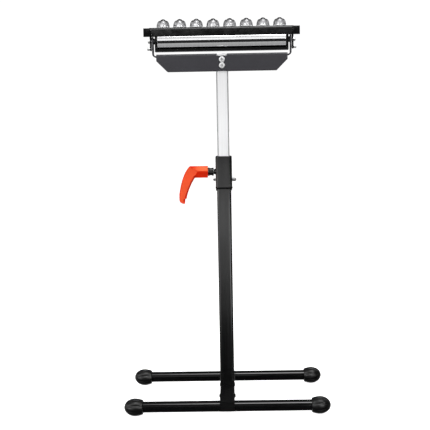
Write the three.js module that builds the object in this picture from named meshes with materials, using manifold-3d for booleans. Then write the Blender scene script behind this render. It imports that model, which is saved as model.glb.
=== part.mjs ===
import * as THREE from 'three';
import { mergeVertices } from 'three/addons/utils/BufferGeometryUtils.js';
import Module from 'manifold-3d';

// A pedestal roller stand with a tilting head: balls, a roller or a plain guide bar on top.
// Millimetres, +Z up, +X to the right, +Y to the back. The origin is on the floor under the post.

// Clearances
const FIT = 0.3; // between pieces that touch
const SLIDE_GAP = 0.75; // inner post to outer post, each side
const ROLLER_GAP = 0.6; // roller to the bar above it
const ROLLER_END_GAP = 1; // roller to the frame's end plates
const SWING_GAP = 1.3; // tilting head to the yoke

// Feet
const FOOT_LENGTH = 474; // over the caps
const FOOT_SPACING = 280; // between the foot tubes' axes
const FOOT_TUBE_DIAMETER = 25.4;
const FOOT_TUBE_WALL = 1.5;
const CAP_DIAMETER = 40.5;
const CAP_RIM_DIAMETER = 33;
const CAP_LENGTH = 43.5;
const CAP_NOSE_LENGTH = 25; // rounded outer part of the cap
const CAP_END_WALL = 12; // solid part beyond the tube's end
const CAP_LOBES = 8;
const CAP_GROOVE_DEPTH = 1.2;
const CAP_FLAT_DEPTH = 1; // cut off the cap's underside, where it stands

// Crossbar
const CROSSBAR_WIDTH = 34;
const CROSSBAR_HEIGHT = 30;
const CROSSBAR_WALL = 1.5;
const CROSSBAR_CORNER = 2.5;
const FOOT_BLOCK_DEPTH = 28; // of the block round the middle of each foot tube
const FOOT_BLOCK_NOTCH = 10; // diameter of the round notch under the block's outer face
const FOOT_BLOCK_NOTCH_DEPTH = 5; // how far the notch runs in from that face
const STUB_LENGTH = 108; // from the foot tube's axis into the crossbar
const STUB_WALL = 1.5;
const FRONT_BOLT_REACH = 93; // from the foot tube's axis to its cross bolt
const REAR_BOLT_REACH = 28;
const CROSS_BOLT_DIAMETER = 7;
const CROSS_BOLT_HEAD_DIAMETER = 11;
const CROSS_BOLT_HEAD_HEIGHT = 2.4;
const CROSS_BOLT_TIP = 1.4; // bolt end beyond the crossbar, inside the cap nut

// Outer post and its collar
const POST_SIZE = 34;
const POST_WALL = 2;
const POST_CORNER = 3;
const POST_TOP = 583.5;
const COLLAR_WALL = 2.2;
const COLLAR_CORNER = 4;
const COLLAR_HEIGHT = 74;
const COLLAR_RISE = 4; // above the post's end, round the guide bushing
const COLLAR_TAB_DROP = 8; // side tabs below the collar
const COLLAR_TAB_WIDTH = 20;
const COLLAR_SCREW_DROP = 56; // from the collar's top to its side screws
const COLLAR_SCREW_DIAMETER = 5;
const COLLAR_SCREW_LEFT_HEAD = 8;
const COLLAR_SCREW_LEFT_HEIGHT = 6;
const COLLAR_SCREW_RIGHT_HEAD = 10.5;
const COLLAR_SCREW_RIGHT_HEIGHT = 9.6;
const COLLAR_SCREW_DOME = 2.2; // height of the rounded end of its head

// Clamp
const CLAMP_DROP = 37; // from the collar's top to the clamp's axis
const BOSS_DIAMETER = 13.6;
const BOSS_TIP_DIAMETER = 12;
const BOSS_LENGTH = 4.2;
const STUD_DIAMETER = 8;
const STUD_IN_LEVER = 14; // length of stud held in the lever
const PAD_DIAMETER = 12;
const PAD_THICKNESS = 1.2;
const HUB_DIAMETER = 20.2;
const HUB_LENGTH = 13.5;
const LEVER_HUB_DIAMETER = 27.5;
const LEVER_HUB_LENGTH = 24;
const LEVER_REACH = 69; // from the lever's hub face to the outside of its arm
const LEVER_DROP = 75; // from the clamp's axis to the lever's tip
const LEVER_ARM_WIDTH = 17.5;
const LEVER_TOP_LENGTH = 43; // straight top of the lever, from the hub's face
const LEVER_UNDERSIDE = 31; // straight underside, from the hub's face
const LEVER_GRIP_TOP = 22.5; // from the lever's tip to the end of its outer bend
const LEVER_GRIP_INSIDE = 14; // from the lever's tip to the end of its inner bend
const LEVER_TIP_ROUND = 10.5;
const LEVER_BEND_SAG = 8.5; // from the grip's outside to its bend's control point
const LEVER_BEND_FALL = 14.8; // from the lever's top to the same point
const LEVER_INSIDE_SAG = 5.6; // from the grip's inside to its bend's control point
const LEVER_INSIDE_FALL = 23; // from the lever's underside to the same point
const LEVER_THICKNESS = 18;
const LEVER_EDGE = 3;

// Inner post
const INNER_WALL = 1.5;
const INNER_CORNER = 2.5;
const INNER_LENGTH = 573;
const GLIDE_FLANGE = 4;
const GLIDE_PLUG = 16;

// Yoke
const YOKE_TOP = 827.5; // height above the floor, as it is set here
const YOKE_LENGTH = 307;
const YOKE_SHEET = 3;
const YOKE_DROP = 40.5;
const YOKE_CHAMFER = 25;
const YOKE_NOTCH_WIDTH = 25;
const YOKE_NOTCH_DEPTH = 5;
const YOKE_SCREW_UPPER_DROP = 13.5; // below the yoke's top
const YOKE_SCREW_LOWER_DROP = 27.5;
const YOKE_SCREW_DIAMETER = 6;
const YOKE_SCREW_HEAD_DIAMETER = 14;
const YOKE_SCREW_HEAD_HEIGHT = 3;
const YOKE_SCREW_RECESS_LENGTH = 7;
const YOKE_SCREW_RECESS_WIDTH = 1.8;
const YOKE_SCREW_RECESS_DEPTH = 2;
const YOKE_NUT_DIAMETER = 11.5;
const YOKE_NUT_HEIGHT = 5;
const YOKE_SCREW_TIP = 2; // screw end beyond its nut
const LEG_WIDTH = 21;
const LEG_THICKNESS = 3.5;
const LEG_BEND = 5; // inside radius
const LEG_LAP = 55; // length of strap welded under the yoke

// Head
const ROLLER_DIAMETER = 38;
const ROLLER_LENGTH = 301;
const ROLLER_WALL = 1.5;
const ROLLER_SIDES = 32;
const BEARING_LENGTH = 12;
const AXLE_DIAMETER = 8;
const AXLE_TIP = 1.2; // axle end beyond its nut
const AXLE_NUT_DIAMETER = 13;
const AXLE_NUT_HEIGHT = 3.5;
const SPACER_DIAMETER = 14;
const SPACER_LENGTH = 3;
const FRAME_SHEET = 2.5;
const FRAME_END_PLATE = 4.7;
const FRAME_CHANNEL_WIDTH = 25; // of the frame's bottom channel, under the roller
const FRAME_LIP = 8; // height of that channel
const FRAME_CORNER = 5;
const FRAME_ROLLER_GAP = 3.5; // under the roller
const BAR_HEIGHT = 19.2;
const BAR_SHEET = 2;
const SIDE_PLATE_THICKNESS = 3;
const SIDE_PLATE_DROP = 22; // below the axle
const SIDE_PLATE_FOOT = 12; // half width of its lower end
const SIDE_PLATE_CORNER = 6;
const LOCK_GAP = 1.7; // between a yoke leg and its side plate, bridged by the lock screw
const LOCK_SCREW_DROP = 17; // below the axle
const LOCK_SCREW_DIAMETER = 6;
const LOCK_SCREW_HEAD_DIAMETER = 10.6;
const LOCK_SCREW_HEAD_HEIGHT = 6.5;
const GUIDE_LENGTH = 370;
const GUIDE_DEPTH = 12;
const GUIDE_HEIGHT = 20;
const GUIDE_WALL = 1.5;
const GUIDE_LIFT = 0.9; // above the lower edge of the ball bar
const GUIDE_PLUG_LENGTH = 10;

// Ball transfers
const BALL_COUNT = 8;
const BALL_PITCH = 39;
const BALL_DIAMETER = 15.9;
const BALL_SIDES = 16;
const BALL_STACKS = 6;
const BALL_GAP = 0.4; // between a ball and its cup
const BALL_CENTRE_HEIGHT = 12.1; // above the housing's base
const HOUSING_DIAMETER = 30.8;
const HOUSING_RIM_HEIGHT = 2.5; // straight part below the dome
const HOUSING_LIP_WIDTH = 1;
const HOUSING_LIP_HEIGHT = 4.2; // above the ball's centre, so that the lip holds the ball in
const HOUSING_SPIGOT_DIAMETER = 12;

// Sizes that follow from the ones above
const footAxisZ = CAP_DIAMETER / 2 - CAP_FLAT_DEPTH;
const crossbarTop = footAxisZ + CROSSBAR_HEIGHT / 2;
const crossbarEnd = FOOT_SPACING / 2 - FOOT_BLOCK_DEPTH / 2 - FIT;
const stubWidth = CROSSBAR_WIDTH - 2 * CROSSBAR_WALL - 2 * FIT;
const stubHeight = CROSSBAR_HEIGHT - 2 * CROSSBAR_WALL - 2 * FIT;
const footEnds = [
  { end: 'front', side: -1, boltReach: FRONT_BOLT_REACH },
  { end: 'rear', side: 1, boltReach: REAR_BOLT_REACH },
];
const postBottom = crossbarTop + FIT;
const postBore = POST_SIZE - 2 * POST_WALL;
const innerSize = postBore - 2 * SLIDE_GAP;
const innerBore = innerSize - 2 * INNER_WALL;
const collarBore = POST_SIZE + 2 * FIT;
const collarHalf = collarBore / 2 + COLLAR_WALL;
const collarTop = POST_TOP + COLLAR_RISE;
const collarBottom = collarTop - COLLAR_HEIGHT;
const collarScrewZ = collarTop - COLLAR_SCREW_DROP;
const clampZ = collarTop - CLAMP_DROP;
const padFace = innerSize / 2 + FIT;
const studTip = padFace + PAD_THICKNESS + FIT;
const hubStart = collarHalf + BOSS_LENGTH + FIT;
const leverStart = hubStart + HUB_LENGTH + FIT;
const innerBottom = YOKE_TOP - INNER_LENGTH;
const flangeInner = innerSize / 2 + FIT;
const flangeOuter = flangeInner + YOKE_SHEET;
const webBottom = YOKE_TOP - YOKE_SHEET;
const yokeScrewHeights = {
  upper: YOKE_TOP - YOKE_SCREW_UPPER_DROP,
  lower: YOKE_TOP - YOKE_SCREW_LOWER_DROP,
};
const rollerRadius = ROLLER_DIAMETER / 2;
const frameDrop = rollerRadius + FRAME_ROLLER_GAP + FRAME_SHEET;
const barRise = LEG_WIDTH / 2 + SWING_GAP;
const barInner = Math.sqrt(rollerRadius ** 2 - barRise ** 2) + ROLLER_GAP;
const barOuter = barInner + BAR_SHEET;
const barTop = barRise + BAR_HEIGHT;
const frameHalf = barInner - FIT;
const frameEndInner = ROLLER_LENGTH / 2 + ROLLER_END_GAP;
const frameEndOuter = frameEndInner + FRAME_END_PLATE;
const legInner = frameEndOuter + SPACER_LENGTH + 2 * FIT;
const legOuter = legInner + LEG_THICKNESS;
const sidePlateInner = legOuter + LOCK_GAP;
const sidePlateOuter = sidePlateInner + SIDE_PLATE_THICKNESS;
const barHalfLength = sidePlateInner - FIT;
const guideFront = barOuter + FIT;
const guideBack = guideFront + GUIDE_DEPTH;
const axleRise = Math.max(Math.hypot(frameDrop, frameHalf), guideBack) + SWING_GAP;
const axleZ = YOKE_TOP + axleRise;
const axleHalfLength = sidePlateOuter + FIT + AXLE_NUT_HEIGHT + AXLE_TIP;

const wasm = await Module();
wasm.setup();

// Keeps positions only, merges shared vertices and drops the flat triangles at a lathe's poles.
function closed(geometry) {
  const bare = geometry.clone();
  bare.deleteAttribute('normal');
  bare.deleteAttribute('uv');
  const merged = mergeVertices(bare);
  const source = merged.index.array;
  const kept = [];
  for (let i = 0; i < source.length; i += 3) {
    const [a, b, c] = source.subarray(i, i + 3);
    if (a !== b && b !== c && c !== a) kept.push(a, b, c);
  }
  merged.setIndex(kept);
  return merged;
}

function toSolid(geometry) {
  const { attributes, index } = closed(geometry);
  const vertProperties = new Float32Array(attributes.position.array);
  const triVerts = new Uint32Array(index.array);
  return new wasm.Manifold(new wasm.Mesh({ numProp: 3, vertProperties, triVerts }));
}

function toGeometry(solid) {
  const { vertProperties, triVerts } = solid.getMesh();
  const geometry = new THREE.BufferGeometry();
  geometry.setAttribute('position', new THREE.BufferAttribute(new Float32Array(vertProperties), 3));
  geometry.setIndex(Array.from(triVerts));
  return geometry;
}

function join(first, ...others) {
  return toGeometry(others.reduce((solid, other) => solid.add(toSolid(other)), toSolid(first)));
}

function cut(body, ...tools) {
  return toGeometry(tools.reduce((solid, tool) => solid.subtract(toSolid(tool)), toSolid(body)));
}

function common(first, second) {
  return toGeometry(toSolid(first).intersect(toSolid(second)));
}

function block([x0, x1], [y0, y1], [z0, z1]) {
  const geometry = new THREE.BoxGeometry(x1 - x0, y1 - y0, z1 - z0);
  return geometry.translate((x0 + x1) / 2, (y0 + y1) / 2, (z0 + z1) / 2);
}

// Turns a geometry made along +Z so that it runs along the named axis.
const alongAxis = {
  x: new THREE.Matrix4().makeBasis(
    new THREE.Vector3(0, 1, 0), new THREE.Vector3(0, 0, 1), new THREE.Vector3(1, 0, 0)),
  y: new THREE.Matrix4().makeBasis(
    new THREE.Vector3(0, 0, 1), new THREE.Vector3(1, 0, 0), new THREE.Vector3(0, 1, 0)),
  z: new THREE.Matrix4(),
};

function rod(axis, diameter, from, to, sides = 16) {
  const geometry = new THREE.CylinderGeometry(diameter / 2, diameter / 2, to - from, sides);
  geometry.rotateX(Math.PI / 2);
  geometry.translate(0, 0, (from + to) / 2);
  return geometry.applyMatrix4(alongAxis[axis]);
}

// The profile lists [radius, height] pairs up the outside; the height runs along the named axis.
function lathe(axis, profile, sides = 16) {
  const points = profile.map(([radius, height]) => new THREE.Vector2(radius, height));
  const geometry = new THREE.LatheGeometry(points, sides);
  geometry.rotateX(Math.PI / 2);
  return geometry.applyMatrix4(alongAxis[axis]);
}

// An outline across X holds (y, z) points, one across Y holds (z, x), one across Z holds (x, y).
function extrude(axis, shape, from, to, curveSegments = 4) {
  const options = { depth: to - from, bevelEnabled: false, curveSegments };
  const geometry = new THREE.ExtrudeGeometry(shape, options);
  geometry.translate(0, 0, from);
  return geometry.applyMatrix4(alongAxis[axis]);
}

function roundedRect(width, height, corner, Kind = THREE.Shape) {
  const x = width / 2;
  const y = height / 2;
  const outline = new Kind();
  outline.moveTo(x, corner - y);
  outline.lineTo(x, y - corner);
  outline.absarc(x - corner, y - corner, corner, 0, Math.PI / 2);
  outline.lineTo(corner - x, y);
  outline.absarc(corner - x, y - corner, corner, Math.PI / 2, Math.PI);
  outline.lineTo(-x, corner - y);
  outline.absarc(corner - x, corner - y, corner, Math.PI, 1.5 * Math.PI);
  outline.lineTo(x - corner, -y);
  outline.absarc(x - corner, corner - y, corner, 1.5 * Math.PI, 2 * Math.PI);
  return outline;
}

function rectTube(axis, width, height, wall, corner, from, to) {
  const outline = roundedRect(width, height, corner);
  const bore = roundedRect(width - 2 * wall, height - 2 * wall, Math.max(corner - wall, FIT), THREE.Path);
  outline.holes.push(bore);
  return extrude(axis, outline, from, to, 2);
}

function polygon(points) {
  return new THREE.Shape(points.map(([x, y]) => new THREE.Vector2(x, y)));
}

// A ring with a round bore: six sides make a nut, many make a spacer.
function ring(axis, diameter, bore, from, to, sides) {
  return cut(rod(axis, diameter, from, to, sides), rod(axis, bore, from - 1, to + 1));
}

const look = (color, roughness, metalness) => new THREE.MeshStandardMaterial({ color, roughness, metalness });
const materials = {
  blackPaint: look(0x1b1b1c, 0.4, 0.3),
  greyPaint: look(0x444348, 0.5, 0.3),
  blackPlastic: look(0x151515, 0.55, 0),
  orangePlastic: look(0xe84a1c, 0.35, 0),
  brightSteel: look(0xe4e4e6, 0.25, 1),
  chrome: look(0xf0f0f2, 0.08, 1),
  zinc: look(0xb9bbbd, 0.35, 1),
};

function piece(parent, name, geometry, material) {
  const mesh = new THREE.Mesh(closed(geometry), material);
  mesh.name = name;
  parent.add(mesh);
  return mesh;
}

function group(parent, x, y, z) {
  const child = new THREE.Group();
  child.position.set(x, y, z);
  parent.add(child);
  return child;
}

// Fluted cap along +X, with its rim at x = 0 and the tube's axis on the X axis.
function footCapGeometry() {
  const barrelLength = CAP_LENGTH - CAP_NOSE_LENGTH;
  const rimRadius = CAP_RIM_DIAMETER / 2;
  const fullRadius = CAP_DIAMETER / 2;
  const barrelSteps = 3;
  const noseSteps = 5;
  const stations = [];
  for (let i = 0; i < barrelSteps; i += 1) {
    const share = i / barrelSteps;
    const swell = Math.sin((share * Math.PI) / 2);
    stations.push([barrelLength * share, rimRadius + (fullRadius - rimRadius) * swell]);
  }
  for (let i = 0; i < noseSteps; i += 1) {
    const angle = ((i / noseSteps) * Math.PI) / 2;
    stations.push([barrelLength + CAP_NOSE_LENGTH * Math.sin(angle), fullRadius * Math.cos(angle)]);
  }
  const pointsPerLobe = 3;
  const sides = CAP_LOBES * pointsPerLobe;
  const positions = [];
  stations.forEach(([x, radius]) => {
    const fade = Math.sin((Math.PI * x) / CAP_LENGTH);
    for (let k = 0; k < sides; k += 1) {
      const angle = ((k - pointsPerLobe / 2) / sides) * 2 * Math.PI;
      const groove = k % pointsPerLobe === 0 ? CAP_GROOVE_DEPTH * fade : 0;
      positions.push(x, (radius - groove) * Math.cos(angle), (radius - groove) * Math.sin(angle));
    }
  });
  const rimCentre = stations.length * sides;
  const tip = rimCentre + 1;
  positions.push(0, 0, 0, CAP_LENGTH, 0, 0);
  const index = [];
  const lastRing = (stations.length - 1) * sides;
  for (let k = 0; k < sides; k += 1) {
    const next = (k + 1) % sides;
    index.push(rimCentre, next, k, tip, lastRing + k, lastRing + next);
    for (let ringStart = 0; ringStart < lastRing; ringStart += sides) {
      const [a, b] = [ringStart + k, ringStart + next];
      index.push(a, b, b + sides, a, b + sides, a + sides);
    }
  }
  const body = new THREE.BufferGeometry();
  body.setAttribute('position', new THREE.Float32BufferAttribute(positions, 3));
  body.setIndex(index);
  const socketEnd = CAP_LENGTH - CAP_END_WALL;
  const socket = rod('x', FOOT_TUBE_DIAMETER + 2 * FIT, -1, socketEnd, 24);
  const floor = block([-1, CAP_LENGTH + 1], [-CAP_DIAMETER, CAP_DIAMETER], [-CAP_DIAMETER, -footAxisZ]);
  return cut(body, socket, floor);
}

// Foot tube along X through a square block, with a stub towards +Y that fits into the crossbar.
function footTubeGeometry(boltReach) {
  const half = FOOT_LENGTH / 2 - CAP_END_WALL - FIT;
  const bore = FOOT_TUBE_DIAMETER - 2 * FOOT_TUBE_WALL;
  const blockEnd = FOOT_BLOCK_DEPTH / 2;
  const blockBottom = -FOOT_TUBE_DIAMETER / 2;
  const outline = roundedRect(CROSSBAR_HEIGHT, CROSSBAR_WIDTH, CROSSBAR_CORNER);
  const below = block(
    [-CROSSBAR_WIDTH, CROSSBAR_WIDTH], [-FOOT_BLOCK_DEPTH, FOOT_BLOCK_DEPTH], [-CROSSBAR_HEIGHT, blockBottom]);
  const middle = cut(extrude('y', outline, -blockEnd, blockEnd, 2), below);
  const stubStart = blockEnd - STUB_WALL;
  const stub = rectTube('y', stubHeight, stubWidth, STUB_WALL, CROSSBAR_CORNER, stubStart, STUB_LENGTH);
  const boltHole = rod('x', CROSS_BOLT_DIAMETER + 2 * FIT, -CROSSBAR_WIDTH, CROSSBAR_WIDTH);
  const notch = rod('y', FOOT_BLOCK_NOTCH, -blockEnd - 1, FOOT_BLOCK_NOTCH_DEPTH - blockEnd);
  const notchDrop = FOOT_BLOCK_NOTCH / 4;
  return cut(
    join(rod('x', FOOT_TUBE_DIAMETER, -half, half, 24), middle, stub),
    rod('x', bore, -half - 1, half + 1, 24),
    boltHole.translate(0, boltReach, 0),
    notch.translate(0, 0, blockBottom - notchDrop),
  );
}

// Crossbar along Y between the blocks of the two feet.
function crossbarGeometry() {
  const section = [CROSSBAR_HEIGHT, CROSSBAR_WIDTH, CROSSBAR_WALL, CROSSBAR_CORNER];
  const tube = rectTube('y', ...section, -crossbarEnd, crossbarEnd);
  const boltHoles = footEnds.map(({ side, boltReach }) => {
    const hole = rod('x', CROSS_BOLT_DIAMETER + 2 * FIT, -CROSSBAR_WIDTH, CROSSBAR_WIDTH);
    return hole.translate(0, side * (FOOT_SPACING / 2 - boltReach), 0);
  });
  return cut(tube, ...boltHoles);
}

// Low domed head with its flat side at height 0 and the dome above it.
function domeProfile(diameter, height) {
  const steps = 3;
  const profile = [];
  for (let i = 0; i <= steps; i += 1) {
    const angle = ((i / steps) * Math.PI) / 2;
    profile.push([(diameter / 2) * Math.cos(angle), height * Math.sin(angle)]);
  }
  profile[steps][0] = 0;
  return profile;
}

// Bolt along X with its dome at the left and its shank to the right, head seat at x = 0.
function crossBoltGeometry() {
  const shankEnd = CROSSBAR_WIDTH + 2 * FIT + CROSS_BOLT_TIP;
  const shank = CROSS_BOLT_DIAMETER / 2;
  const profile = [[0, -shankEnd], [shank, -shankEnd], [shank, 0]];
  profile.push(...domeProfile(CROSS_BOLT_HEAD_DIAMETER, CROSS_BOLT_HEAD_HEIGHT));
  return lathe('x', profile).rotateZ(Math.PI);
}

// Cap nut that opens towards its seat at x = 0.
function crossNutGeometry() {
  const bore = CROSS_BOLT_DIAMETER / 2 + FIT;
  const depth = CROSS_BOLT_TIP + FIT;
  const profile = [[0, depth], [bore, depth], [bore, 0]];
  profile.push(...domeProfile(CROSS_BOLT_HEAD_DIAMETER, CROSS_BOLT_HEAD_HEIGHT));
  return lathe('x', profile);
}

function buildBase(root) {
  const base = group(root, 0, 0, footAxisZ);
  footEnds.forEach(({ end, side, boltReach }) => {
    const foot = group(base, 0, (side * FOOT_SPACING) / 2, 0);
    foot.rotation.z = side < 0 ? 0 : Math.PI;
    piece(foot, `${end}_foot_tube`, footTubeGeometry(boltReach), materials.blackPaint);
    [['left', -1], ['right', 1]].forEach(([hand, xSide]) => {
      const cap = piece(base, `${end}_${hand}_foot_cap`, footCapGeometry(), materials.blackPlastic);
      cap.position.set(xSide * (FOOT_LENGTH / 2 - CAP_LENGTH), (side * FOOT_SPACING) / 2, 0);
      cap.rotation.z = xSide < 0 ? Math.PI : 0;
    });
    const boltY = side * (FOOT_SPACING / 2 - boltReach);
    const seat = CROSSBAR_WIDTH / 2 + FIT;
    const bolt = piece(base, `${end}_cross_bolt`, crossBoltGeometry(), materials.zinc);
    bolt.position.set(-seat, boltY, 0);
    const nut = piece(base, `${end}_cross_nut`, crossNutGeometry(), materials.zinc);
    nut.position.set(seat, boltY, 0);
  });
  piece(base, 'base_crossbar', crossbarGeometry(), materials.blackPaint);
}

function buildPost(root) {
  const post = rectTube('z', POST_SIZE, POST_SIZE, POST_WALL, POST_CORNER, postBottom, POST_TOP);
  const padHole = rod('x', PAD_DIAMETER + 2 * FIT, -POST_SIZE, 0).translate(0, 0, clampZ);
  const screwHole = rod('x', COLLAR_SCREW_DIAMETER + 2 * FIT, -POST_SIZE, POST_SIZE);
  screwHole.translate(0, 0, collarScrewZ);
  piece(root, 'outer_post', cut(post, padHole, screwHole), materials.blackPaint);

  const bushingWall = (POST_SIZE - innerSize) / 2 - FIT;
  const bushing = rectTube('z', POST_SIZE, POST_SIZE, bushingWall, POST_CORNER, POST_TOP + FIT, collarTop);
  piece(root, 'guide_bushing', bushing, materials.blackPlastic);
}

// Collar round the post's top, with side tabs and a threaded boss on its left.
function collarGeometry() {
  const outline = roundedRect(2 * collarHalf, 2 * collarHalf, COLLAR_CORNER);
  outline.holes.push(roundedRect(collarBore, collarBore, POST_CORNER, THREE.Path));
  const sleeve = extrude('z', outline, collarBottom, collarTop, 3);
  const tabs = [-1, 1].map((side) => {
    const [inner, outer] = [side * (collarBore / 2), side * collarHalf].sort((a, b) => a - b);
    const halfWidth = COLLAR_TAB_WIDTH / 2;
    return block([inner, outer], [-halfWidth, halfWidth], [collarBottom - COLLAR_TAB_DROP, collarBottom + 1]);
  });
  const bossEnd = collarHalf + BOSS_LENGTH;
  const boss = lathe('x', [
    [0, collarHalf - 1], [BOSS_DIAMETER / 2, collarHalf - 1], [BOSS_DIAMETER / 2, collarHalf],
    [BOSS_TIP_DIAMETER / 2, bossEnd], [0, bossEnd],
  ]).rotateZ(Math.PI).translate(0, 0, clampZ);
  const studHole = rod('x', STUD_DIAMETER + 2 * FIT, -bossEnd - 1, 0).translate(0, 0, clampZ);
  const screwHole = rod('x', COLLAR_SCREW_DIAMETER + 2 * FIT, -2 * collarHalf, 2 * collarHalf);
  return cut(join(sleeve, ...tabs, boss), studHole, screwHole.translate(0, 0, collarScrewZ));
}

// Short hex screw with a domed end, pointing along +X, with its seat at x = 0.
function collarScrewGeometry(headDiameter, headHeight) {
  const flatHeight = headHeight - COLLAR_SCREW_DOME;
  const acrossFlats = headDiameter * Math.cos(Math.PI / 6);
  const grip = collarHalf - postBore / 2;
  const rounded = domeProfile(acrossFlats, COLLAR_SCREW_DOME);
  const dome = lathe('x', [[0, -1], [acrossFlats / 2, -1], ...rounded], 12);
  return join(
    rod('x', headDiameter, 0, flatHeight, 6),
    dome.translate(flatHeight, 0, 0),
    rod('x', COLLAR_SCREW_DIAMETER, -grip, 1, 12),
  );
}

function buildCollar(root) {
  piece(root, 'clamp_collar', collarGeometry(), materials.blackPaint);
  const seat = collarHalf + FIT;
  const leftHead = collarScrewGeometry(COLLAR_SCREW_LEFT_HEAD, COLLAR_SCREW_LEFT_HEIGHT);
  const left = piece(root, 'collar_screw_left', leftHead, materials.zinc);
  left.position.set(-seat, 0, collarScrewZ);
  left.rotation.z = Math.PI;
  const rightHead = collarScrewGeometry(COLLAR_SCREW_RIGHT_HEAD, COLLAR_SCREW_RIGHT_HEIGHT);
  const right = piece(root, 'collar_screw_right', rightHead, materials.zinc);
  right.position.set(seat, 0, collarScrewZ);
}

// Lever outline seen from the front: u runs out from the hub's face, v is the height over its axis.
function leverOutline() {
  const top = LEVER_HUB_DIAMETER / 2;
  const inner = LEVER_REACH - LEVER_ARM_WIDTH;
  const gripTop = LEVER_GRIP_TOP - LEVER_DROP;
  const gripInside = LEVER_GRIP_INSIDE - LEVER_DROP;
  const tipTop = LEVER_TIP_ROUND - LEVER_DROP;
  const outline = new THREE.Path();
  outline.moveTo(0, top);
  outline.lineTo(LEVER_TOP_LENGTH, top);
  outline.quadraticCurveTo(LEVER_REACH - LEVER_BEND_SAG, top - LEVER_BEND_FALL, LEVER_REACH, gripTop);
  outline.lineTo(LEVER_REACH, tipTop);
  outline.quadraticCurveTo(LEVER_REACH, -LEVER_DROP, inner + LEVER_EDGE, -LEVER_DROP);
  outline.lineTo(inner, tipTop);
  outline.lineTo(inner, gripInside);
  outline.quadraticCurveTo(inner - LEVER_INSIDE_SAG, -top - LEVER_INSIDE_FALL, LEVER_UNDERSIDE, -top);
  outline.lineTo(0, -top);
  return outline.getPoints(6);
}

// Curved grip along the hub, pointing to -X from its hub's face at x = 0.
function leverGeometry() {
  const shape = new THREE.Shape(leverOutline().map(({ x, y }) => new THREE.Vector2(y, -x)));
  const options = {
    depth: LEVER_THICKNESS - 2 * LEVER_EDGE,
    bevelEnabled: true,
    bevelThickness: LEVER_EDGE,
    bevelSize: LEVER_EDGE,
    bevelOffset: -LEVER_EDGE,
    bevelSegments: 2,
    curveSegments: 6,
  };
  const arm = new THREE.ExtrudeGeometry(shape, options);
  arm.translate(0, 0, LEVER_EDGE - LEVER_THICKNESS / 2);
  arm.applyMatrix4(alongAxis.y);
  const radius = LEVER_HUB_DIAMETER / 2;
  const hub = lathe('x', [
    [0, 0], [radius, 0], [radius, LEVER_HUB_LENGTH / 2], [LEVER_THICKNESS / 2, LEVER_HUB_LENGTH],
    [0, LEVER_HUB_LENGTH],
  ], 20).rotateZ(Math.PI);
  const bore = rod('x', STUD_DIAMETER + 2 * FIT, -STUD_IN_LEVER - FIT, 1);
  return cut(join(hub, arm), bore);
}

function buildClamp(root) {
  const clamp = group(root, 0, 0, clampZ);
  piece(clamp, 'clamp_pad', rod('x', PAD_DIAMETER, -padFace - PAD_THICKNESS, -padFace), materials.zinc);
  const stud = rod('x', STUD_DIAMETER, -leverStart - STUD_IN_LEVER, -studTip);
  piece(clamp, 'clamp_stud', stud, materials.zinc);
  const hub = ring('x', HUB_DIAMETER, STUD_DIAMETER + 2 * FIT, -hubStart - HUB_LENGTH, -hubStart, 20);
  piece(clamp, 'lever_hub', hub, materials.blackPlastic);
  const lever = piece(clamp, 'clamp_lever', leverGeometry(), materials.orangePlastic);
  lever.position.x = -leverStart;
}

function buildInnerPost(root) {
  const tube = rectTube('z', innerSize, innerSize, INNER_WALL, INNER_CORNER, innerBottom, YOKE_TOP);
  const screwHoles = Object.values(yokeScrewHeights).map((z) => {
    const hole = rod('y', YOKE_SCREW_DIAMETER + 2 * FIT, -innerSize, innerSize);
    return hole.translate(0, 0, z);
  });
  piece(root, 'inner_post', cut(tube, ...screwHoles), materials.brightSteel);

  const flangeTop = innerBottom - FIT;
  const flangeSize = postBore - 2 * FIT;
  const plugSize = innerBore - 2 * FIT;
  const flangeShape = roundedRect(flangeSize, flangeSize, POST_CORNER - POST_WALL);
  const plugShape = roundedRect(plugSize, plugSize, INNER_CORNER - INNER_WALL);
  const glide = join(
    extrude('z', flangeShape, flangeTop - GLIDE_FLANGE, flangeTop, 2),
    extrude('z', plugShape, flangeTop - 1, flangeTop + GLIDE_PLUG, 2),
  );
  piece(root, 'inner_post_glide', glide, materials.blackPlastic);
}

// Upright strap that laps under the yoke's web and bends up on the right side; x in, z up.
function legOutline() {
  const outerBend = LEG_BEND + LEG_THICKNESS;
  const bendX = legInner - LEG_BEND;
  const bendZ = webBottom + LEG_BEND;
  const top = axleZ + LEG_WIDTH;
  const lap = YOKE_LENGTH / 2 - LEG_LAP;
  const outline = new THREE.Path();
  outline.moveTo(lap, webBottom);
  outline.lineTo(lap, webBottom - LEG_THICKNESS);
  outline.lineTo(bendX, webBottom - LEG_THICKNESS);
  outline.absarc(bendX, bendZ, outerBend, -Math.PI / 2, 0);
  outline.lineTo(legOuter, top);
  outline.lineTo(legInner, top);
  outline.absarc(bendX, bendZ, LEG_BEND, 0, -Math.PI / 2, true);
  return outline.getPoints(4);
}

function legGeometry() {
  const strap = new THREE.Shape(legOutline().map(({ x, y }) => new THREE.Vector2(y, x)));
  const front = new THREE.Shape();
  front.moveTo(-LEG_WIDTH / 2, webBottom - 2 * LEG_THICKNESS);
  front.lineTo(LEG_WIDTH / 2, webBottom - 2 * LEG_THICKNESS);
  front.lineTo(LEG_WIDTH / 2, axleZ);
  front.absarc(0, axleZ, LEG_WIDTH / 2, 0, Math.PI);
  return common(
    extrude('y', strap, -LEG_WIDTH / 2 - 1, LEG_WIDTH / 2 + 1),
    extrude('x', front, 0, legOuter + 1, 8),
  );
}

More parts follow.
